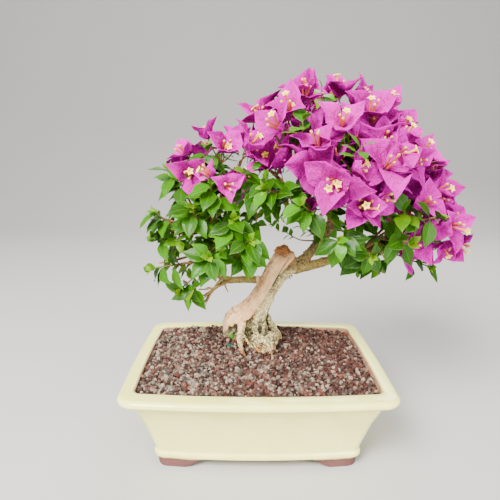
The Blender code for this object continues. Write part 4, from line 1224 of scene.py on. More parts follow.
@dataclass
class GritBed:
    """Crushed lava over the soil."""

    spacing: float = 3.75
    row_share: float = 0.87
    stray: float = 0.4
    layers: int = 2
    half: tuple[float, float] = (1.3, 3.1)
    field: tuple[float, float] = (110.5, 82.0)
    heap: tuple[float, float, float] = (-32.0, 17.0, 11.0)
    heap_reach: tuple[float, float] = (15.0, 13.0)
    heap_step: float = 2.3
    heap_layers: int = 4
    wall: tuple[float, float] = (109.6, 78.6)
    wall_middle: tuple[float, float] = (110.0, 79.0)
    foot_room: float = 0.4
    sky: float = 150.0
    lowest: float = 70.0
    gain: tuple[float, float] = (0.42, 0.96)
    batch: int = 120
    seed: int = 5

    def colour_at(self, x: float, y: float, chance: random.Random) -> Colour:
        """The colour of a stone by where it lies.

        Args:
            x: its place across.
            y: its place to the back.
            chance: the source of chance.

        Returns:
            The colour.
        """
        share = portion(0.5 + x / 200.0 + y / 280.0 + 0.35 * soft(Vector((x, y, 3.0)), 0.03), 0.0, 1.0)
        kinds = list(Stone)
        weights = [kind.value[1] * (1.0 - share) + kind.value[2] * share for kind in kinds]
        colour = chance.choices(kinds, weights)[0].value[0]
        gain = chance.uniform(*self.gain)
        return tuple(min(c * gain, 1.0) for c in colour)

    def heaped(self, x: float, y: float) -> float:
        """How high the grit is heaped against the trunk.

        Args:
            x: the place across.
            y: the place to the back.

        Returns:
            The height.
        """
        across = (x - self.heap[0]) / self.heap_reach[0]
        back = (y - self.heap[1]) / self.heap_reach[1]
        return self.heap[2] * math.exp(-across * across - back * back)

    def has_room(self, x: float, y: float, half: float, pot: Pot) -> bool:
        """Whether a stone lies clear of the pot's walls and the trunk's feet.

        Args:
            x: its place across.
            y: its place to the back.
            half: half of its size.
            pot: the pot.

        Returns:
            Whether it does.
        """
        wall_x = self.wall[0] - half + pot.short_bow * (1.0 - (y / self.wall_middle[1]) ** 2)
        wall_y = self.wall[1] - half + pot.long_bow * (1.0 - (x / self.wall_middle[0]) ** 2)
        if abs(x) > wall_x or abs(y) > wall_y:
            return False
        return all(math.hypot(x - foot_x, y - foot_y) >= radius + self.foot_room
                   for foot_x, foot_y, radius in FEET.values())

    def add_stone(self, shape: Shape, centre: Vector, half: float, colour: Colour, chance: random.Random) -> None:
        """Add a broken stone.

        Args:
            shape: the mesh.
            centre: its middle.
            half: half of its size.
            colour: its colour.
            chance: the source of chance.
        """
        layer = shape.verts.layers.float_color["stone"]
        turn = Matrix.Rotation(chance.uniform(0.0, 6.3), 4, Vector((chance.gauss(0, 1), chance.gauss(0, 1), 1.0)))
        size = Matrix.Diagonal((half * chance.uniform(0.8, 1.25), half * chance.uniform(0.75, 1.1),
                                half * chance.uniform(0.6, 0.95), 1.0))
        made = bmesh.ops.create_icosphere(shape, subdivisions=1, radius=1.0,
                                          matrix=Matrix.Translation(centre) @ turn @ size)
        for vert in made["verts"]:
            vert.co = centre + (vert.co - centre) * chance.uniform(0.62, 1.24)
            vert[layer] = (*colour, 1.0)

    def new_heap(self) -> Shape:
        """A new mesh for stones.

        Returns:
            The mesh, with a colour on its corners.
        """
        shape = bmesh.new()
        shape.verts.layers.float_color.new("stone")
        return shape

    def places(self, ground: BVHTree, pot: Pot,
               chance: random.Random) -> Iterator[tuple[float, float, float, float]]:
        """Find the places of the stones, layer by layer and row by row.

        Args:
            ground: the soil.
            pot: the pot.
            chance: the source of chance.

        Returns:
            The stones' places, each with half of its size.
        """
        for level in range(self.layers + self.heap_layers):
            upper = level == 1
            step = self.spacing * (1.0 + 0.35 * upper)
            for row in range(int(2 * self.field[1] / (step * self.row_share)) + 2):
                row_x = -self.field[0] - 2.0
                row_y = -self.field[1] - 4.0 + row * step * self.row_share
                for column in range(int(2 * self.field[0] / step) + 2):
                    x = row_x + (column + 0.5 * (row % 2)) * step + chance.uniform(-self.stray, self.stray) * step
                    y = row_y + chance.uniform(-self.stray, self.stray) * step
                    half = chance.uniform(*self.half) * (1.0 - 0.15 * upper)
                    if not self.has_room(x, y, half, pot):
                        continue
                    hit = ground.ray_cast(Vector((x, y, self.sky)), -UP)[0]
                    if hit is None or hit.z < self.lowest:
                        continue
                    height = half * (0.15 + 0.5 * min(level, 1)) + chance.uniform(-0.4, 0.5)
                    if level >= self.layers:
                        height += (level - self.layers + 1) * self.heap_step
                        if height > self.heaped(x, y):
                            continue
                    yield x, y, hit.z + height, half

    def build(self, bench: Bench, finish: Material, pot: Pot) -> Piece:
        """Lay the grit.

        Args:
            bench: the bench.
            finish: its finish.
            pot: the pot that holds it.

        Returns:
            The piece.
        """
        chance = random.Random(self.seed)
        soil = bench.copy_of("soil")
        ground = BVHTree.FromBMesh(soil)
        soil.free()
        bed, batch = self.new_heap(), self.new_heap()
        count = 0
        for x, y, z, half in self.places(ground, pot, chance):
            self.add_stone(batch, Vector((x, y, z)), half, self.colour_at(x, y, chance), chance)
            count += 1
            if count % self.batch == 0:
                append(bed, batch)
                batch = self.new_heap()
        for x, y, z, half, colour in BEADS:
            self.add_stone(batch, Vector((x, y, z)), half, colour, chance)
        append(bed, batch)
        LOG.info("%d stones", count)
        return bench.piece("lava_grit", bed, [finish], Slot.GRIT, crease=12.0)


# Wood

def knots_of(rows: Rows) -> Path:
    """Places with radii, made ready for a path."""
    return [(Vector(row[:3]), row[3]) for row in rows]


def limb_knots(name: str) -> Path:
    """The knots of a limb.

    Args:
        name: the limb's name.

    Returns:
        The knots, from its foot where it has one.
    """
    knots = knots_of(LIMBS[name])
    if name in FEET:
        x, y, radius = FEET[name]
        knots.insert(0, (Vector((x, y, HOLE_TOP)), radius))
    return knots


def outward(place: Place) -> Vector:
    """The way a spray or bunch grows.

    Args:
        place: its place.

    Returns:
        The way out from the middle of its pad and a little up.
    """
    centre = LEFT_PAD if place[0] < 0 else CROWN
    way = (Vector(place) - Vector(centre)).normalized()
    way.z += OUTWARD_LIFT
    return way.normalized()


def twig_end(place: Place) -> Vector:
    """Where the twig of a spray or bunch ends."""
    return Vector(place) - outward(place) * (BUNCH_SETBACK if place in BUNCHES else 0.0)


class Trace:
    """Samples along a limb of the trunk, to be found by place."""

    step: float = 1.5

    def __init__(self, path: Path) -> None:
        samples = smooth_path(path, self.step)
        self.tree = KDTree(len(samples))
        self.facts: list[tuple[Vector, float, float, Vector]] = []
        length = 0.0
        for i, (point, radius) in enumerate(samples):
            ahead = samples[min(i + 1, len(samples) - 1)][0] - samples[max(i - 1, 0)][0]
            if i:
                length += (point - samples[i - 1][0]).length
            self.tree.insert(point, i)
            self.facts.append((point, radius, length, ahead.normalized()))
        self.tree.balance()

    def nearest(self, place: Vector) -> tuple[float, Vector, float, Vector]:
        """Look up the sample nearest to a place.

        Args:
            place: the place.

        Returns:
            How far the place is outside the limb, and the sample's point, its length along the limb and its way.
        """
        _, index, distance = self.tree.find(place)
        point, radius, length, way = self.facts[index]
        return distance - radius, point, length, way


@dataclass
class Wood:
    """The trunk, cut from one block, and its branches and twigs."""

    trunk_step: float = 11.0
    branch_step: float = 20.0
    voxel: float = 0.8
    last_run: float = 11.0
    twig_share: float = 0.3
    bare_count: int = 90
    plate: float = 0.34
    smoothings: int = 4
    root_fade: tuple[float, float] = (78.0, 88.0)
    calm_from: tuple[float, float] = (114.0, 124.0)
    calm_until: tuple[float, float] = (172.0, 162.0)
    seam_span: tuple[float, float] = (112.0, 176.0)
    line_span: tuple[float, float] = (150.0, 181.0)
    flake_span: tuple[float, float] = (112.0, 178.0)
    fold_until: tuple[float, float] = (122.0, 114.0)
    stub_from: float = 178.0
    leader_from: float = 162.0
    seed: int = 3

    def coarse_paths(self) -> dict[str, Path]:
        """The limbs' paths as the solids have them.

        Returns:
            The paths by the limbs' names.
        """
        paths = {}
        for name in LIMBS:
            path = smooth_path(limb_knots(name), self.trunk_step if name in TRUNK_LIMBS else self.branch_step)
            if name in FEET:
                x, y, radius = FEET[name]
                path.insert(0, (Vector((x, y, ROOT_DEPTH)), radius))
            paths[name] = path
        return paths

    def twig_knots(self, place: Place, paths: dict[str, Path]) -> Path:
        """The twig that carries a spray or bunch.

        Args:
            place: the place of the spray or bunch.
            paths: the limbs' paths.

        Returns:
            The twig's knots.
        """
        base = twig_end(place)
        best = None
        for path in paths.values():
            for (low, _), (high, radius) in zip(path[1:], path[2:] + path[-1:]):
                run = high - low
                if run.length < 0.01:
                    continue
                way = base - low
                slant = way.normalized().dot(run.normalized())
                turn = way.normalized().dot(outward(place))
                cost = way.length * (1.6 - 0.4 * min(slant, 0.5)) * (2.0 - turn)
                if best is None or cost < best[0]:
                    best = (cost, low, way, radius)
        _, start, way, radius = best
        first = min(max(radius * 0.75, TWIG_RADIUS), 2.0)
        bend = base - outward(place) * min(max(self.twig_share * way.length, 3.0), self.last_run)
        return [(start, first), (bend, (first + TWIG_RADIUS) / 2.0), (base, TWIG_RADIUS)]

    def bare_twigs(self) -> list[Path]:
        """Short bare twigs all over the limbs.

        Returns:
            Their paths.
        """
        chance = random.Random(self.seed)
        names = [name for name in LIMBS if name not in TRUNK_LIMBS]
        twigs = []
        for _ in range(self.bare_count):
            path = smooth_path(limb_knots(chance.choice(names)), 4.0)
            start, radius = path[int(len(path) * chance.uniform(0.25, 0.98))]
            way = Vector((chance.gauss(0, 1), chance.gauss(0, 1), chance.gauss(0.3, 0.8))).normalized()
            way = (way + outward(tuple(start)) * 0.7).normalized()
            length = chance.uniform(9.0, 24.0)
            stray = Vector((chance.gauss(0, 1), chance.gauss(0, 1), chance.gauss(0, 1)))
            bow = start + way * (length * 0.5) + stray * 1.5
            knots = [(start, min(radius * 0.6, 0.85)), (bow, 0.6), (start + way * length, 0.4)]
            twigs.append(smooth_path(knots, 5.0))
        return twigs

    def carriers(self) -> list[tuple[Vector, float]]:
        """Places on the wood that a twig or stalk may grow from.

        Returns:
            The places, with the wood's radius there.
        """
        paths = self.coarse_paths()
        runs = [smooth_path(limb_knots(name), 4.0) for name in LIMBS if name not in TRUNK_LIMBS]
        runs += [smooth_path(self.twig_knots(place, paths), 4.0) for place in BUNCHES + SPRAYS]
        runs.append([knot for knot in smooth_path(limb_knots("live_stem"), 4.0) if knot[0].z > 210.0])
        return [knot for run in runs for knot in run]

    def trunk(self, bench: Bench, finish: Material) -> Piece:
        """Make the trunk with its roots.

        Args:
            bench: the bench.
            finish: the bark.

        Returns:
            The piece.
        """
        block = bmesh.new()
        traces = {}
        for name, rows in TRUNK_FORM.items():
            if name in FEET:
                x, y, radius = FEET[name]
                rows = [(x, y, ROOT_DEPTH, radius), *rows]
            path = smooth_path(knots_of(rows), 3.0)
            sweep(block, path, 28)
            traces[name] = Trace(path)
        for place, radius in knots_of(LUMPS):
            bmesh.ops.create_icosphere(block, subdivisions=3, radius=radius, matrix=Matrix.Translation(place))
        for rows in (GRAFT, COLLAR, *ROOTLETS):
            sweep(block, smooth_path(knots_of(rows), 3.0), 20)
        shape = self.fused(block)
        for _ in range(self.smoothings):
            bmesh.ops.smooth_vert(shape, verts=shape.verts, factor=0.5, use_axis_x=True, use_axis_y=True,
                                  use_axis_z=True)
        shape.normal_update()
        self.carve(shape, traces)
        bmesh.ops.recalc_face_normals(shape, faces=shape.faces)
        return bench.piece("trunk", shape, [finish], Slot.BARK, ["wood"], 180.0)

    def fused(self, block: Shape) -> Shape:
        """Fuse solids that overlap into one skin.

        Args:
            block: the solids, which are used up.

        Returns:
            The skin.
        """
        mesh = bpy.data.meshes.new("block")
        block.to_mesh(mesh)
        block.free()
        thing = bpy.data.objects.new("block", mesh)
        bpy.context.scene.collection.objects.link(thing)
        skin = thing.modifiers.new("skin", "REMESH")
        skin.mode = "VOXEL"
        skin.voxel_size = self.voxel
        bpy.context.view_layer.update()
        fused = bpy.data.meshes.new_from_object(thing.evaluated_get(bpy.context.evaluated_depsgraph_get()))
        bpy.data.objects.remove(thing, do_unlink=True)
        shape = bmesh.new()
        shape.from_mesh(fused)
        bpy.data.meshes.remove(fused)
        return shape

    def carve(self, shape: Shape, traces: dict[str, Trace]) -> None:
        """Cut the bark's flutes, lumps and cracks into the trunk, and note where they are.

        Args:
            shape: the trunk.
            traces: the limbs' traces.
        """
        layers = [shape.verts.layers.float.new(name) for name in BARK_LAYERS]
        moves = []
        for vert in shape.verts:
            move, notes = self.bark_at(vert.co, traces)
            for layer, value in zip(layers, notes):
                vert[layer] = value
            moves.append(move)
        for vert, move in zip(shape.verts, moves):
            vert.co += vert.normal * move

    def bark_at(self, place: Vector, traces: dict[str, Trace]) -> tuple[float, tuple[float, ...]]:
        """The bark at a place on the trunk.

        Args:
            place: the place.
            traces: the limbs' traces.

        Returns:
            How far the bark stands out, and its values for the layers of the bark.
        """
        found = {name: trace.nearest(place) for name, trace in traces.items()}
        gaps = {name: facts[0] for name, facts in found.items()}
        name = min(gaps, key=gaps.get)
        gap, point, length, way = found[name]
        arm = place - point
        side = way.cross(BACK).normalized()
        turn = math.atan2(arm.dot(side.cross(way)), arm.dot(side))
        x, z = place.x, place.z
        mottle = soft(place, 0.05)
        on_old = name in OLD_PARTS
        calm = portion(z, *self.calm_from) * portion(z, *self.calm_until)

        # The borders between the old wood, the live wood and the underside of the old stem's bulge
        old = min(gaps["old_stem"], gaps["side_strand"])
        live = min(gaps[key] for key in LIVE_PARTS)
        border = old - live + 1.2 * soft(place, 0.14)
        seam = math.exp(-(border / 0.5) ** 2) if self.seam_span[0] < z < self.seam_span[1] else 0.0
        split = gaps["old_stem"] - gaps["side_strand"]
        line = math.exp(-(split / 0.7) ** 2) if self.line_span[0] < z < self.line_span[1] else 0.0
        limit = 109.0 + 0.3 * (x + 12.0) - 0.09 * max(0.0, -26.0 - x) ** 2 + 4.0 * mottle
        under = portion(limit - z, 0.0, 3.0)
        brow = 4.0 * under * (1.0 - under)
        rough = 1.0
        if name == "front_root":
            rough = 0.9 * portion(107.0 - z + 4.0 * mottle, 0.0, 6.0)
            brow = 0.35 * max(0.0, soft(place, 0.22))
        elif on_old:
            rough = max(portion(old - live + 0.8 + 2.0 * mottle, 0.0, 1.5), under)
        near_old = float(gaps["old_stem"] < gaps["live_stem"] + 2.0)
        stub = portion(z - self.stub_from + 8.0 * mottle, 0.0, 9.0) * near_old
        leader = portion(z - self.leader_from + 12.0 * mottle, 0.0, 12.0) * (1.0 - near_old)

        # Smooth bark: long flutes, fine cracks, and flakes on its left edge
        grain = Vector((math.cos(turn) * 1.6, math.sin(turn) * 1.6, length * 0.035))
        crack = max(0.0, 1.0 - abs(soft(grain, 2.3, (5.0, 1.0, 2.0))) / 0.045)
        flutes = 0.9 * noise.noise(grain) + 0.4 * soft(place, 0.3)
        flutes += 0.35 * noise.noise(Vector((grain.x * 3.0, grain.y * 3.0, length * 0.09)))
        flaking = on_old and self.flake_span[0] < z < self.flake_span[1]
        left = max(0.0, math.cos(turn) - 0.25) if flaking else 0.0
        flake = left * portion(soft(place, 0.33, (3.0, 9.0, 1.0)), 0.05, 0.25)

        # Rough bark: plates, lumps, and folds where two limbs meet
        cell = (place - way * (place.dot(way) * (0.68 if name == "live_stem" else 0.15))) * self.plate
        cell += Vector((0.6, 0.6, 0.6)) * soft(place, 0.25)
        near, far = noise.voronoi(cell)[0][:2]
        gully = max(0.0, 1.0 - (far - near) / 0.2) * (1.0 - 0.55 * calm)
        lumps = 1.3 * soft(place, 0.13) + 1.0 * soft(place, 0.28) + 1.5 * (0.5 - near) + 0.5 * soft(place, 0.8)
        if name in ("ridge", "middle_strand"):
            lumps *= 0.4
        others = [each for key, each in gaps.items()
                  if key != name and {name, key} != {"old_stem", "front_root"}]
        fold = math.exp(-((min(others) - gap) / 1.2) ** 2) * portion(z, *self.fold_until)
        fold *= portion(0.75 + 1.6 * soft(place, 0.09, (7.0, 2.0, 4.0)), 0.0, 1.0)
        shaded_hollow = max(math.exp(-((place - middle).length / reach) ** 2) for middle, reach in knots_of(HOLLOWS))

        lift = (1.0 - rough) * flutes + rough * lumps - under * on_old + 0.7 * flake
        lift += stub * (1.2 * soft(place, 0.35) + 0.8 * soft(place, 0.9))
        depth = (1.0 - rough) * crack * 0.5 + rough * gully * 1.1
        depth += seam * 0.35 + line * 0.7 + fold * 1.6 + shaded_hollow * 2.0 + brow * 0.7
        # The pit value is painted shade. It grows with the depth of the cracks, gullies, seam, line, folds,
        # hollows and brow, in the dents between lumps, and under the old stem's bulge.
        pit = depth * 0.6 + rough * max(0.0, -lumps) * 0.35 * (1.0 - 0.6 * calm)
        pit += 0.4 * line + 0.22 * under * (name == "old_stem")
        notes = (rough, max(stub, flake), min(pit, 1.0), leader * 0.5, leader, length * 0.01,
                 0.5 + 0.5 * math.cos(turn))
        return (lift - depth) * portion(z, *self.root_fade), notes

    def branches(self, bench: Bench, finish: Material) -> Piece:
        """Make the branches and the twigs that carry the sprays and bunches.

        Args:
            bench: the bench.
            finish: the bark.

        Returns:
            The piece.
        """
        shape = new_shape(*BARK_LAYERS)
        paths = self.coarse_paths()
        runs = [(smooth_path(limb_knots(name), 4.0), 12, 0.25 if name == "left_drop" else 1.0)
                for name in LIMBS if name not in TRUNK_LIMBS]
        runs += [(smooth_path(self.twig_knots(place, paths), 4.0), 7, 1.0) for place in BUNCHES + SPRAYS]
        runs += [(smooth_path(knots_of(rows), 4.0), 7, fresh) for fresh, rows in OLD_TWIGS]
        runs += [(path, 5, 0.9) for path in self.bare_twigs()]
        for path, sides, fresh in runs:
            batch = new_shape(*BARK_LAYERS)
            own = {name: batch.verts.layers.float[name] for name in BARK_LAYERS}
            length = 0.0
            for i, ring in enumerate(sweep(batch, path, sides)):
                point, radius = path[i]
                if i:
                    length += (point - path[i - 1][0]).length
                for k, vert in enumerate(ring):
                    arm = (vert.co - point).normalized()
                    lump = soft(vert.co, 0.2) + 0.6 * soft(vert.co, 0.5)
                    swell = 0.3 * max(0.0, math.sin(length * 0.42 + path[0][0].x)) ** 4
                    vert.co += arm * (radius * (0.16 * lump + swell * 0.5) + 0.05)
                    vert[own["rough"]] = max(portion(radius - 1.2, 0.0, 1.2), 1.0 - fresh)
                    vert[own["young"]] = min(portion(2.2 - radius, 0.0, 1.2), 0.9) * fresh
                    vert[own["limb"]] = 1.0
                    vert[own["along"]] = length * 0.01
                    vert[own["turn"]] = 0.5 + 0.5 * math.cos(2.0 * math.pi * k / sides)
                    # Painted shade in the dents of the bark, through the pit layer
                    vert[own["pit"]] = max(0.0, -lump) * 0.35
            append(shape, batch)
        bmesh.ops.recalc_face_normals(shape, faces=shape.faces)
        return bench.piece("branches", shape, [finish], Slot.BARK, ["wood"], 60.0)


# Foliage

@dataclass(frozen=True)
class Spot:
    """Where a blade sits: its root, its tip and its two widest points."""

    root: Vector
    tip: Vector
    left: Vector
    right: Vector

    @property
    def length(self) -> float:
        """From root to tip."""
        return (self.tip - self.root).length

    def axes(self) -> tuple[Vector, Vector, Vector]:
        """Its own directions: along, across and up."""
        along = (self.tip - self.root).normalized()
        across = self.right - self.left
        across = (across - along * across.dot(along)).normalized()
        return along, across, across.cross(along)

    def shrunk(self, centre: Vector, share: float) -> "Spot":
        """The same spot drawn in towards a point."""
        return Spot(*(centre.lerp(point, share) for point in (self.root, self.tip, self.left, self.right)))

    def rise(self) -> float:
        """How high its widest points stand over the line from root to tip, as a share of its length."""
        return ((self.left + self.right) / 2.0 - self.root).dot(self.axes()[2]) / self.length


def spots_of(shape: Shape, hint: Vector) -> list[Spot]:
    """Find the blades of a spray or bunch.

    Each corner of a blade is a pair of points one thickness apart, and its tip is the pair in
    the middle of three.

    Args:
        shape: a merged copy of the solid.
        hint: roughly the way that the blades' upper sides face.

    Returns:
        The blades.
    """
    partners: dict[Vert, list[Vert]] = {}
    for edge in shape.edges:
        if abs(edge.calc_length() - BLADE) < 0.02:
            first, second = edge.verts
            partners.setdefault(first, []).append(second)
            partners.setdefault(second, []).append(first)
    pair_of = {}
    for vert, others in partners.items():
        if len(others) == 1 and len(partners[others[0]]) == 1:
            pair_of[vert] = frozenset((vert, others[0]))
    spots = []
    for pair in dict.fromkeys(pair_of.values()):
        around = {edge.other_vert(vert) for vert in pair for edge in vert.link_edges} - pair
        beside = {pair_of[vert] for vert in around if vert in pair_of}
        roots = [vert.co for vert in around if vert not in pair_of]
        if len(beside) != 2 or not roots:
            continue
        order = sorted(beside, key=lambda each: min(vert.index for vert in each))
        centre = [sum((vert.co for vert in each), Vector()) / 2.0 for each in order]
        tip = sum((vert.co for vert in pair), Vector()) / 2.0
        root = sum(roots, Vector()) / len(roots)
        left, right = centre
        if (right - left).cross(tip - root).dot(hint) < 0.0:
            left, right = right, left
        spots.append(Spot(root, tip, left, right))
    return spots


class Clearance:
    """Keeps the blades from growing through one another."""

    batch: int = 40

    def __init__(self) -> None:
        self.corners: list[Vector] = []
        self.faces: list[tuple[int, int, int]] = []
        self.settled = 0
        self.tree: Optional[BVHTree] = None

    def faces_of(self, spots: Sequence[Spot], first: int) -> tuple[list[Vector], list[tuple[int, int, int]]]:
        """Two triangles for each blade.

        Args:
            spots: the blades.
            first: the number of the first corner.

        Returns:
            Corners and faces.
        """
        corners: list[Vector] = []
        faces: list[tuple[int, int, int]] = []
        for spot in spots:
            k = first + len(corners)
            corners += [spot.root.lerp(spot.tip, 0.15), spot.left, spot.right, spot.tip]
            faces += [(k, k + 1, k + 3), (k, k + 3, k + 2)]
        return corners, faces

    def add(self, spots: Sequence[Spot]) -> None:
        """Take the place of blades that stay.

        Args:
            spots: the blades.
        """
        corners, faces = self.faces_of(spots, len(self.corners))
        self.corners += corners
        self.faces += faces
        if len(self.faces) - self.settled > self.batch:
            self.tree = BVHTree.FromPolygons(self.corners, self.faces)
            self.settled = len(self.faces)

    def clashes(self, spots: Sequence[Spot]) -> int:
        """Count the crossings of new blades with those that stay.

        Args:
            spots: the new blades.

        Returns:
            The number of crossings.
        """
        own = BVHTree.FromPolygons(*self.faces_of(spots, 0))
        found = len(own.overlap(self.tree)) if self.tree else 0
        if len(self.faces) > self.settled:
            recent = self.faces[self.settled:]
            first = recent[0][0]
            corners = self.corners[first:]
            found += len(own.overlap(BVHTree.FromPolygons(corners, [tuple(c - first for c in f) for f in recent])))
        return found


@dataclass(frozen=True)
class BladeForm:
    """The form of a leaf or bract, in shares of its length."""

    rows: tuple[tuple[float, float], ...]
    columns: int
    thickness: float
    wave: float
    curl: float
    waves: float = 2.0
    crumple: float = 0.0
    cup: float = 0.56

    def grow(self, spot: Spot, tone: float, material: int, chance: random.Random) -> Shape:
        """Make one blade.

        Args:
            spot: where it sits.
            tone: its tone, 0 to 1.
            material: the number of its material.
            chance: the source of chance.

        Returns:
            Its mesh.
        """
        shape = new_growth()
        count = len(self.rows) - 1
        bmesh.ops.create_grid(shape, x_segments=count, y_segments=self.columns, size=1.0, calc_uvs=True)
        along, across, up = spot.axes()
        length = spot.length
        rise = max(spot.rise(), 0.03)
        widest = max(half for _, half in self.rows)
        phases = (chance.uniform(0.0, 6.3), chance.uniform(0.0, 6.3))
        bend = chance.uniform(-0.05, 0.05)
        curl = self.curl * chance.uniform(-0.8, 1.6)
        drift = Vector((chance.uniform(0.0, 40.0), 0.0, 0.0))
        for vert in shape.verts:
            reach, half = self.rows[round((vert.co.x + 1.0) / 2.0 * count)]
            t = vert.co.y
            breadth = half / widest
            lift = rise * 0.45 * 4.0 * reach * (1.0 - reach)
            lift += rise * self.cup * abs(t) ** 1.4 * breadth
            lift += self.wave * t * t * breadth * math.sin(phases[t > 0] + reach * self.waves * 2.0 * math.pi)
            lift += self.crumple * noise.noise(Vector((reach * 2.6, t * 1.4, 0.0)) + drift) * breadth
            lift -= curl * max(0.0, (reach - 0.6) / 0.4) ** 2
            sway = bend * 4.0 * reach * (1.0 - reach)
            vert.co = spot.root + (along * reach + across * (t * half + sway) + up * lift) * length
        bmesh.ops.solidify(shape, geom=shape.faces[:], thickness=self.thickness)
        mark(shape, shape.verts, "tone", tone)
        return turned_out(shape, material)


LEAF_FORM = BladeForm(
    rows=((0.0, 0.016), (0.08, 0.02), (0.17, 0.135), (0.3, 0.25), (0.45, 0.29), (0.62, 0.245), (0.78, 0.15),
          (0.9, 0.06), (1.0, 0.006)),
    columns=4, thickness=0.4, wave=0.025, curl=0.08)
SMALL_LEAF_FORM = BladeForm(
    rows=((0.0, 0.018), (0.13, 0.028), (0.27, 0.22), (0.46, 0.29), (0.68, 0.21), (0.87, 0.08), (1.0, 0.006)),
    columns=2, thickness=0.35, wave=0.02, curl=0.08)
BRACT_FORM = BladeForm(
    rows=((0.0, 0.03), (0.07, 0.16), (0.2, 0.31), (0.38, 0.385), (0.56, 0.345), (0.74, 0.225), (0.89, 0.09),
          (1.0, 0.006)),
    columns=6, thickness=0.3, wave=0.09, curl=0.16, waves=1.5, crumple=0.15, cup=1.1)
SMALL_BRACT_FORM = BladeForm(
    rows=((0.0, 0.03), (0.1, 0.2), (0.28, 0.35), (0.48, 0.375), (0.7, 0.25), (0.88, 0.1), (1.0, 0.006)),
    columns=4, thickness=0.3, wave=0.09, curl=0.18, waves=1.5, crumple=0.15, cup=1.1)


# A tube flower's rings: (share of its length, radius, notch, reach value)
OPEN_FLOWER: Rows = (
    (0.0, 0.7, 0.0, 0.0), (0.25, 1.35, 0.0, 0.3), (0.55, 0.95, 0.0, 0.55), (0.9, 1.15, 0.0, 0.7),
    (0.97, 1.9, 0.1, 0.8), (1.0, 3.9, 0.42, 0.92), (1.03, 3.7, 0.42, 0.92), (1.0, 1.6, 0.1, 0.95),
    (0.93, 0.8, 0.0, 1.0))
CLOSED_FLOWER: Rows = (
    (0.0, 0.7, 0.0, 0.0), (0.25, 1.25, 0.0, 0.2), (0.6, 0.85, 0.0, 0.36), (0.82, 0.95, 0.0, 0.45),
    (0.92, 1.45, 0.0, 0.55), (1.0, 1.2, 0.2, 0.68), (1.04, 0.4, 0.0, 0.74))


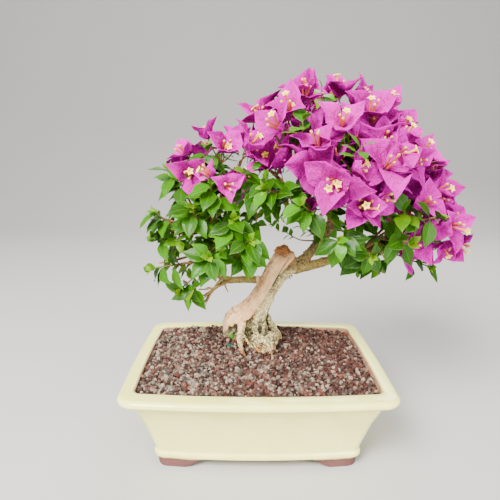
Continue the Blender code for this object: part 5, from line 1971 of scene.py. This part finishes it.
@dataclass
class Foliage:
    """The leafy sprays and the bunches of blooms."""

    leaf: Material
    bract: Material
    flower: Material
    shoot: Material
    clearance: Clearance

    def stem(self, path: Path, sides: int, start: float, end: float, material: int) -> Shape:
        """Make a stem.

        Args:
            path: its path.
            sides: corners round it.
            start: its reach value at the foot.
            end: its reach value at the tip.
            material: the number of its material.

        Returns:
            Its mesh.
        """
        shape = new_growth()
        rings = sweep(shape, path, sides)
        for i, ring in enumerate(rings):
            mark(shape, ring, "reach", start + (end - start) * i / (len(rings) - 1))
        return turned_out(shape, material)

    def tube_flower(self, root: Vector, way: Vector, length: float, is_open: bool) -> Shape:
        """Make a tube flower.

        Args:
            root: its foot.
            way: the way it points.
            length: its length.
            is_open: whether its star is open.

        Returns:
            Its mesh.
        """
        rows, sides = (OPEN_FLOWER, 10) if is_open else (CLOSED_FLOWER, 6)
        shape = new_growth()
        _, across, up = ways_along([root, root + way])[0]
        rings = loft(shape, [round_points(root + way * (length * reach), across, up, radius, sides, notch)
                             for reach, radius, notch, _ in rows])
        for ring, (*_, value) in zip(rings, rows):
            mark(shape, ring, "reach", value)
        return turned_out(shape, 1)

    def small_leaf(self, root: Vector, way: Vector, up: Vector, length: float) -> Spot:
        """The spot of a leaf of the maker's own.

        Args:
            root: its root.
            way: the way it points.
            up: roughly the way its upper side faces.
            length: its length.

        Returns:
            The spot.
        """
        across = way.cross(up).normalized()
        over = across.cross(way)
        middle = root + way * (0.42 * length) + over * (0.07 * length)
        side = across * (0.29 * length)
        return Spot(root, root + way * length, middle - side, middle + side)

    def spray(self, bench: Bench, number: int, place: Place) -> Piece:
        """Make one leafy spray.

        Args:
            bench: the bench.
            number: its number.
            place: its place.

        Returns:
            The piece.
        """
        name = f"leaf_spray_{number:02d}"
        chance = random.Random(name)
        way = outward(place)
        base = Vector(place)
        solid = bench.copy_of(name)
        spots = spots_of(solid, way + UP * 0.5)
        solid.free()
        self.clearance.add(spots)
        shape = bmesh.new()
        for spot in spots:
            append(shape, LEAF_FORM.grow(spot, chance.uniform(0.15, 0.8), 0, chance))
        tip = base + way * (SPRAY_STEM + STEM_TIP)
        path = [(base + way * GAP, 1.05), (base + way * 10.0, 0.95), (base + way * 19.0, 0.8),
                (base + way * SPRAY_STEM, 0.65), (tip, 0.35)]
        append(shape, self.stem(smooth_path(path, 3.5), 7, 0.0, 1.0, 1))
        across, up = ways_along([base, tip])[0][1:]
        start = chance.uniform(0.0, 6.3)
        for k in range(4):
            radial = swung(across, up, start + k * 2.4)
            aim = swung(way, radial, math.radians(chance.uniform(20.0, 55.0))).normalized()
            spot = self.small_leaf(tip - way * (0.5 + k), aim, way + UP * 0.3, chance.uniform(7.0, 12.0))
            append(shape, LEAF_FORM.grow(spot, chance.uniform(0.75, 1.0), 0, chance))
        return bench.piece(f"leafy_shoot_{number:02d}", shape, [self.leaf, self.shoot], Slot.LEAF, [name], 60.0)

    def bunch(self, bench: Bench, number: int, place: Place) -> Piece:
        """Make one bunch of blooms.

        Args:
            bench: the bench.
            number: its number.
            place: its place.

        Returns:
            The piece.
        """
        name = f"bloom_bunch_{number:02d}"
        chance = random.Random(name)
        way = outward(place)
        base = twig_end(place)
        head = base + way * BUNCH_STEM
        solid = bench.copy_of(name)
        spots = spots_of(solid, way)
        solid.free()
        groups: list[list[Spot]] = []
        for spot in spots:
            near = [group for group in groups if (group[0].root - spot.root).length < 3.0]
            if near:
                near[0].append(spot)
            else:
                groups.append([spot])
        shape = bmesh.new()
        append(shape, self.stem([(base + way * GAP, 1.05), (base + way * 4.0, 0.95), (head, 0.95),
                                 (head + way * STEM_TIP, 0.4)], 7, 0.1, 0.6, 2))
        share = LEFT_BLOOMS.get(number, CROWN_BLOOM)
        for group in groups:
            centre = sum((spot.root for spot in group), Vector()) / len(group)
            group = [spot.shrunk(centre, share) for spot in group]
            self.clearance.add(group)
            tips = sum((spot.tip for spot in group), Vector()) / len(group)
            axis = (tips - centre).normalized()
            if len(group) == 3:
                axis = (group[1].root - group[0].root).cross(group[2].root - group[0].root).normalized()
                if axis.dot(tips - centre) < 0.0:
                    axis = -axis
            tone = chance.uniform(0.3, 0.75)
            bow = head.lerp(centre, 0.5) + UP * chance.uniform(-0.6, 0.6)
            stalk = [(head, 0.75), (bow, 0.6), (centre, 0.7), (centre + axis * 1.6, 0.8)]
            append(shape, self.stem(stalk, 6, 0.5, 0.85, 2))
            star = chance.randrange(5)
            for k, spot in enumerate(group):
                if (spot.right - spot.left).cross(spot.tip - spot.root).dot(axis) < 0.0:
                    spot = Spot(spot.root, spot.tip, spot.right, spot.left)
                append(shape, BRACT_FORM.grow(spot, tone + chance.uniform(-0.2, 0.2), 0, chance))
                radial = (spot.root - centre).normalized()
                aim = swung(axis, radial, math.radians(chance.uniform(6.0, 17.0))).normalized()
                append(shape, self.tube_flower(centre + radial * 0.9 + axis * 1.0, aim,
                                               chance.uniform(13.0, 18.0) - 3.0 * (k != star), k == star))
        return bench.piece(f"blooms_{number:02d}", shape, [self.bract, self.flower, self.shoot], Slot.BRACT,
                           [name], 60.0)


@dataclass
class InnerGrowth:
    """Short leafy twigs and blooms that close the crown and the left pad between the sprays and bunches."""

    foliage: Foliage
    wood: Wood
    seed: int = 11
    left_twigs: int = 115
    crown_twigs: int = 105
    inner_blooms: int = 95
    leaf_length: tuple[float, float] = (13.0, 20.0)
    bract_length: tuple[float, float] = (23.0, 31.0)
    lowest: float = 176.0
    front_lean: float = -0.45
    front_tries: int = 14
    front_leaves: int = 5
    left_left_out: float = 0.6
    inner_depth: float = 0.42
    inner_spread: float = 11.0
    inner_turn: float = 0.35
    inner_tries: int = 9

    def __post_init__(self) -> None:
        self.points = self.wood.carriers()
        self.tree = KDTree(len(self.points))
        for index, (point, _) in enumerate(self.points):
            self.tree.insert(point, index)
        self.tree.balance()
        self.chance = random.Random(self.seed)

    def jitter(self, size: float) -> Vector:
        """A short way at random."""
        return Vector((self.chance.gauss(0, size), self.chance.gauss(0, size), self.chance.gauss(0, size)))

    def carrier(self, point: Vector) -> tuple[Vector, float]:
        """The wood nearest to a point, and its radius."""
        return self.points[self.tree.find(point)[1]]

    def leafy_twig(self, shape: Shape, end: Vector, leaves: int, length: float) -> None:
        """Grow a twig to a place, with leaves along its last part.

        Args:
            shape: the mesh that it joins.
            end: where it ends.
            leaves: how many leaves.
            length: the length of its larger leaves.
        """
        chance = self.chance
        start, radius = self.carrier(end)
        run = (end - start).length
        if run < 3.0:
            return
        bow = start.lerp(end, 0.55) + self.jitter(0.05 * run) - UP * (0.05 * run)
        path = smooth_path([(start, min(radius * 0.8, 1.0)), (bow, 0.75), (end, 0.45)], 5.0)
        append(shape, self.foliage.stem(path, 5, 0.0, 0.9, 1))
        heading = (end - bow).normalized()
        across, up = ways_along([bow, end])[0][1:]
        turn = chance.uniform(0.0, 6.3)
        for k in range(leaves):
            for attempt in range(4):
                radial = swung(across, up, turn + 2.4 * k + 0.6 * attempt)
                lean = math.radians(chance.uniform(30.0, 60.0) + 6.0 * k)
                aim = swung(heading, radial, lean) - UP * 0.25 + Vector((0.0, -0.12, 0.0))
                root = end.lerp(bow, min(2.6 * k / max(run * 0.45, 1.0), 1.0))
                size = length * chance.uniform(0.78, 1.1) * (0.72 if k == 0 else 1.0)
                spot = self.foliage.small_leaf(root, aim.normalized(), heading * 0.7 + UP * 0.7, size)
                if not self.foliage.clearance.clashes([spot]):
                    self.foliage.clearance.add([spot])
                    append(shape, SMALL_LEAF_FORM.grow(spot, chance.uniform(0.25, 0.95), 0, chance))
                    break

    def bract_spots(self, centre: Vector, axis: Vector, length: float) -> list[Spot]:
        """Three bracts round a bloom's middle.

        Args:
            centre: the middle.
            axis: the way that the bloom faces.
            length: the bracts' length.

        Returns:
            Their spots.
        """
        chance = self.chance
        across, up = ways_along([centre, centre + axis])[0][1:]
        start = chance.uniform(0.0, 2.1)
        lean = chance.uniform(38.0, 60.0)
        spots = []
        for k in range(3):
            radial = swung(across, up, start + 2.0 * math.pi * k / 3.0)
            aim = swung(axis, radial, math.radians(lean + chance.uniform(-9.0, 9.0)))
            over = (axis - aim * axis.dot(aim)).normalized()
            size = length * chance.uniform(0.9, 1.1)
            root = centre + radial * 1.5
            middle = root + aim * (0.4 * size) + over * (0.10 * size)
            side = aim.cross(over) * (0.37 * size)
            spots.append(Spot(root, root + aim * size, middle - side, middle + side))
        return spots

    def bloom(self, shape: Shape, centre: Vector, axis: Vector, length: float, tries: int, keep: bool) -> bool:
        """Grow a bloom on a stalk where it has room.

        Args:
            shape: the mesh that it joins.
            centre: its middle.
            axis: the way that it faces.
            length: the length of its bracts.
            tries: how many places near the middle are tried.
            keep: whether it stays with the fewest crossings where no place is free.

        Returns:
            Whether it has grown.
        """
        chance = self.chance
        best: Optional[tuple[int, Vector, Vector, list[Spot]]] = None
        for attempt in range(tries):
            middle = centre + self.jitter(min(0.5 * attempt, 3.0))
            way = (axis + self.jitter(0.05 * attempt)).normalized()
            spots = self.bract_spots(middle, way, length * (1.0 - 0.015 * attempt))
            count = self.foliage.clearance.clashes(spots)
            if best is None or count < best[0]:
                best = (count, middle, way, spots)
            if not count:
                break
        count, middle, way, spots = best
        if count and not keep:
            return False
        self.foliage.clearance.add(spots)
        start, radius = self.carrier(middle - way * 10.0)
        knee = (middle - way * 4.0).lerp(start, 0.35) + self.jitter(0.8)
        path = smooth_path([(start, min(radius * 0.8, 0.95)), (knee, 0.7), (middle - way * 2.0, 0.65),
                            (middle + way * 1.2, 0.75)], 6.0)
        append(shape, self.foliage.stem(path, 5, 0.2, 0.85, 2))
        tone = chance.uniform(0.3, 0.8)
        star = chance.randrange(5)
        for k, spot in enumerate(spots):
            append(shape, SMALL_BRACT_FORM.grow(spot, tone + chance.uniform(-0.2, 0.2), 0, chance))
            radial = (spot.root - middle).normalized()
            aim = swung(way, radial, math.radians(chance.uniform(5.0, 16.0))).normalized()
            reach = (0.5 + 0.12 * (k == star)) * length * chance.uniform(0.9, 1.1)
            append(shape, self.foliage.tube_flower(middle + radial * 0.9 + way * 0.9, aim, reach, k == star))
        return True

    def leaves_near(self, shape: Shape, left: bool, count: int) -> None:
        """Grow leafy twigs at random on one side.

        Args:
            shape: the mesh that they join.
            left: whether it is the left side.
            count: how many.
        """
        places = [point for point, _ in self.points if (point.x < 0.0) == left]
        grown = 0
        while grown < count:
            start = self.chance.choice(places)
            way = (self.jitter(1.0) + outward(tuple(start)) * 1.0).normalized()
            end = start + way * self.chance.uniform(8.0, 20.0)
            if end.z > self.lowest + 14.0 * (end.x > 60.0) - 14.0 * (end.x < -50.0):
                size = self.chance.uniform(*self.leaf_length) * (0.85 if left else 1.0)
                self.leafy_twig(shape, end, self.chance.choice((3, 4, 4, 5)), size)
                grown += 1

    def build(self, bench: Bench) -> None:
        """Grow the blooms in front, the blooms within, and the leaves of both sides.

        Args:
            bench: the bench.
        """
        foliage = self.foliage
        leaf_finishes = [foliage.leaf, foliage.shoot]
        bloom_finishes = [foliage.bract, foliage.flower, foliage.shoot]
        front = bmesh.new()
        for x, y, z, length in FRONT_BLOOMS:
            place = Vector((x, y, z))
            axis = (outward((x, y, z)) + Vector((0.0, self.front_lean, 0.0))).normalized()
            self.bloom(front, place, axis, length, self.front_tries, True)
        bench.piece("front_blooms", front, bloom_finishes, Slot.BRACT, crease=60.0)
        sides = {True: bmesh.new(), False: bmesh.new()}
        for x, y, z, length in FRONT_TWIGS:
            self.leafy_twig(sides[x < 0.0], Vector((x, y, z)), self.front_leaves, length)
        inner = bmesh.new()
        grown = 0
        for _ in range(self.inner_blooms):
            place = self.chance.choice(BUNCHES)
            if place[0] < 0.0 and self.chance.random() < self.left_left_out:
                continue
            centre = Vector(LEFT_PAD if place[0] < 0.0 else CROWN)
            middle = Vector(place).lerp(centre, self.chance.uniform(0.0, self.inner_depth))
            middle += self.jitter(self.inner_spread)
            axis = (outward(place) + self.jitter(self.inner_turn)).normalized()
            length = self.chance.uniform(*self.bract_length)
            grown += self.bloom(inner, middle, axis, length, self.inner_tries, False)
        LOG.info("%d inner blooms", grown)
        bench.piece("inner_blooms", inner, bloom_finishes, Slot.BRACT, crease=60.0)
        for left, count in ((True, self.left_twigs), (False, self.crown_twigs)):
            self.leaves_near(sides[left], left, count)
        bench.piece("left_inner_leaves", sides[True], leaf_finishes, Slot.LEAF, crease=60.0)
        bench.piece("crown_inner_leaves", sides[False], leaf_finishes, Slot.LEAF, crease=60.0)


# Studio

@dataclass
class Studio:
    """The camera at the photograph's angle, the pale floor and soft light."""

    eye: Place = (-13.98, -464.14, 288.68)
    pitch: float = 0.2039
    yaw: float = 0.0127
    roll: float = 0.009
    lens: float = 34.274

    def camera(self, bench: Bench) -> None:
        """Set up the camera.

        Args:
            bench: the bench.
        """
        forward = Vector((math.sin(self.yaw) * math.cos(self.pitch), math.cos(self.yaw) * math.cos(self.pitch),
                          -math.sin(self.pitch)))
        right = Vector((math.cos(self.yaw), -math.sin(self.yaw), 0.0))
        up = right.cross(forward)
        turned = right * math.cos(self.roll) + up * math.sin(self.roll)
        upright = up * math.cos(self.roll) - right * math.sin(self.roll)
        view = Matrix((turned, upright, -forward)).transposed().to_4x4()
        view.translation = bench.into_frame(Vector(self.eye))
        lens = bpy.data.cameras.new("camera")
        lens.sensor_width = 36.0
        lens.lens = self.lens
        lens.clip_start = 0.01
        lens.dof.use_dof = False
        camera = bpy.data.objects.new("camera", lens)
        camera.matrix_world = view
        bpy.context.scene.collection.objects.link(camera)
        bpy.context.scene.camera = camera

    def floor(self, finish: Material) -> None:
        """Lay the floor, which rises behind the object in a wide curve.

        Args:
            finish: its finish.
        """
        shape = bmesh.new()
        flat = Matrix.Translation((0.0, -0.9, 0.0)) @ Matrix.Diagonal((5.0, 2.1, 1.0, 1.0))
        bmesh.ops.create_grid(shape, x_segments=1, y_segments=1, size=1.0, matrix=flat)
        edges = [edge for edge in shape.edges if all(vert.co.y > 1.0 for vert in edge.verts)]
        bend = [math.radians(6.0 * k) for k in range(1, 16)]
        y, z = 1.2, 0.0
        for next_y, next_z in [(1.2 + 1.2 * math.sin(a), 1.2 - 1.2 * math.cos(a)) for a in bend] + [(2.4, 5.0)]:
            made = bmesh.ops.extrude_edge_only(shape, edges=edges)["geom"]
            fresh = [item for item in made if isinstance(item, Vert)]
            bmesh.ops.translate(shape, verts=fresh, vec=(0.0, next_y - y, next_z - z))
            edges = [item for item in made if isinstance(item, Edge)
                     and all(vert in fresh for vert in item.verts)]
            y, z = next_y, next_z
        bmesh.ops.recalc_face_normals(shape, faces=shape.faces)
        mesh = bpy.data.meshes.new("floor")
        shape.to_mesh(mesh)
        shape.free()
        mesh.materials.append(finish)
        mesh.shade_smooth()
        floor = bpy.data.objects.new("floor", mesh)
        bpy.context.scene.collection.objects.link(floor)

    def lamp(self, name: str, place: Place, aim: Place, size: float, power: float, colour: Colour) -> None:
        """Hang a soft square lamp.

        Args:
            name: its name.
            place: where it hangs, in metres.
            aim: the point it faces.
            size: its side, in metres.
            power: its power, in watts.
            colour: its colour.
        """
        light = bpy.data.lights.new(name, "AREA")
        light.shape = "SQUARE"
        light.size = size
        light.energy = power
        light.color = colour
        lamp = bpy.data.objects.new(name, light)
        lamp.location = place
        lamp.rotation_euler = (Vector(aim) - Vector(place)).to_track_quat("-Z", "Y").to_euler()
        bpy.context.scene.collection.objects.link(lamp)

    def build(self, bench: Bench, finish: Material) -> None:
        """Set up the studio.

        Args:
            bench: the bench.
            finish: the floor's finish.
        """
        self.camera(bench)
        self.floor(finish)
        middle = (0.0, 0.0, 0.18)
        self.lamp("key", (-0.75, -1.15, 1.3), middle, 0.8, 132.0, (1.0, 0.985, 0.96))
        self.lamp("fill", (1.0, -1.3, 0.45), middle, 1.2, 40.0, (0.98, 0.99, 1.0))
        self.lamp("back", (0.3, 1.1, 1.2), middle, 1.0, 24.0, (1.0, 1.0, 1.0))
        world = bpy.data.worlds.new("studio")
        bpy.context.scene.world = world
        world.use_nodes = True
        sky = world.node_tree.nodes["Background"]
        sky.inputs["Color"].default_value = (1.0, 0.985, 0.95, 1.0)
        sky.inputs["Strength"].default_value = 0.9


def main() -> None:
    """Dress the bonsai and set up its studio."""
    logging.basicConfig(level=logging.INFO, format="%(message)s")
    low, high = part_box("pot")
    bench = Bench(Vector(((low.x + high.x) / 2.0, (low.y + high.y) / 2.0, 0.0)))
    Studio().build(bench, PaperFinish().material())
    pot = Pot()
    pot.build(bench, GlazeFinish().material())
    soil = SoilFinish().material()
    plastic = PlasticFinish().material()
    for node, finish in (("soil", soil), ("drain_mesh_1", plastic), ("drain_mesh_2", plastic)):
        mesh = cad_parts[node].data
        mesh.materials.clear()
        mesh.materials.append(finish)
    GritBed().build(bench, StoneFinish().material(), pot)
    bark = BarkFinish().material()
    wood = Wood()
    wood.trunk(bench, bark)
    wood.branches(bench, bark)
    foliage = Foliage(LeafFinish().material(), BractFinish().material(), FlowerFinish().material(),
                      ShootFinish().material(), Clearance())
    for number, place in enumerate(SPRAYS, start=1):
        foliage.spray(bench, number, place)
    for number, place in enumerate(BUNCHES, start=1):
        foliage.bunch(bench, number, place)
    InnerGrowth(foliage, wood).build(bench)


if __name__ == "__main__":
    main()
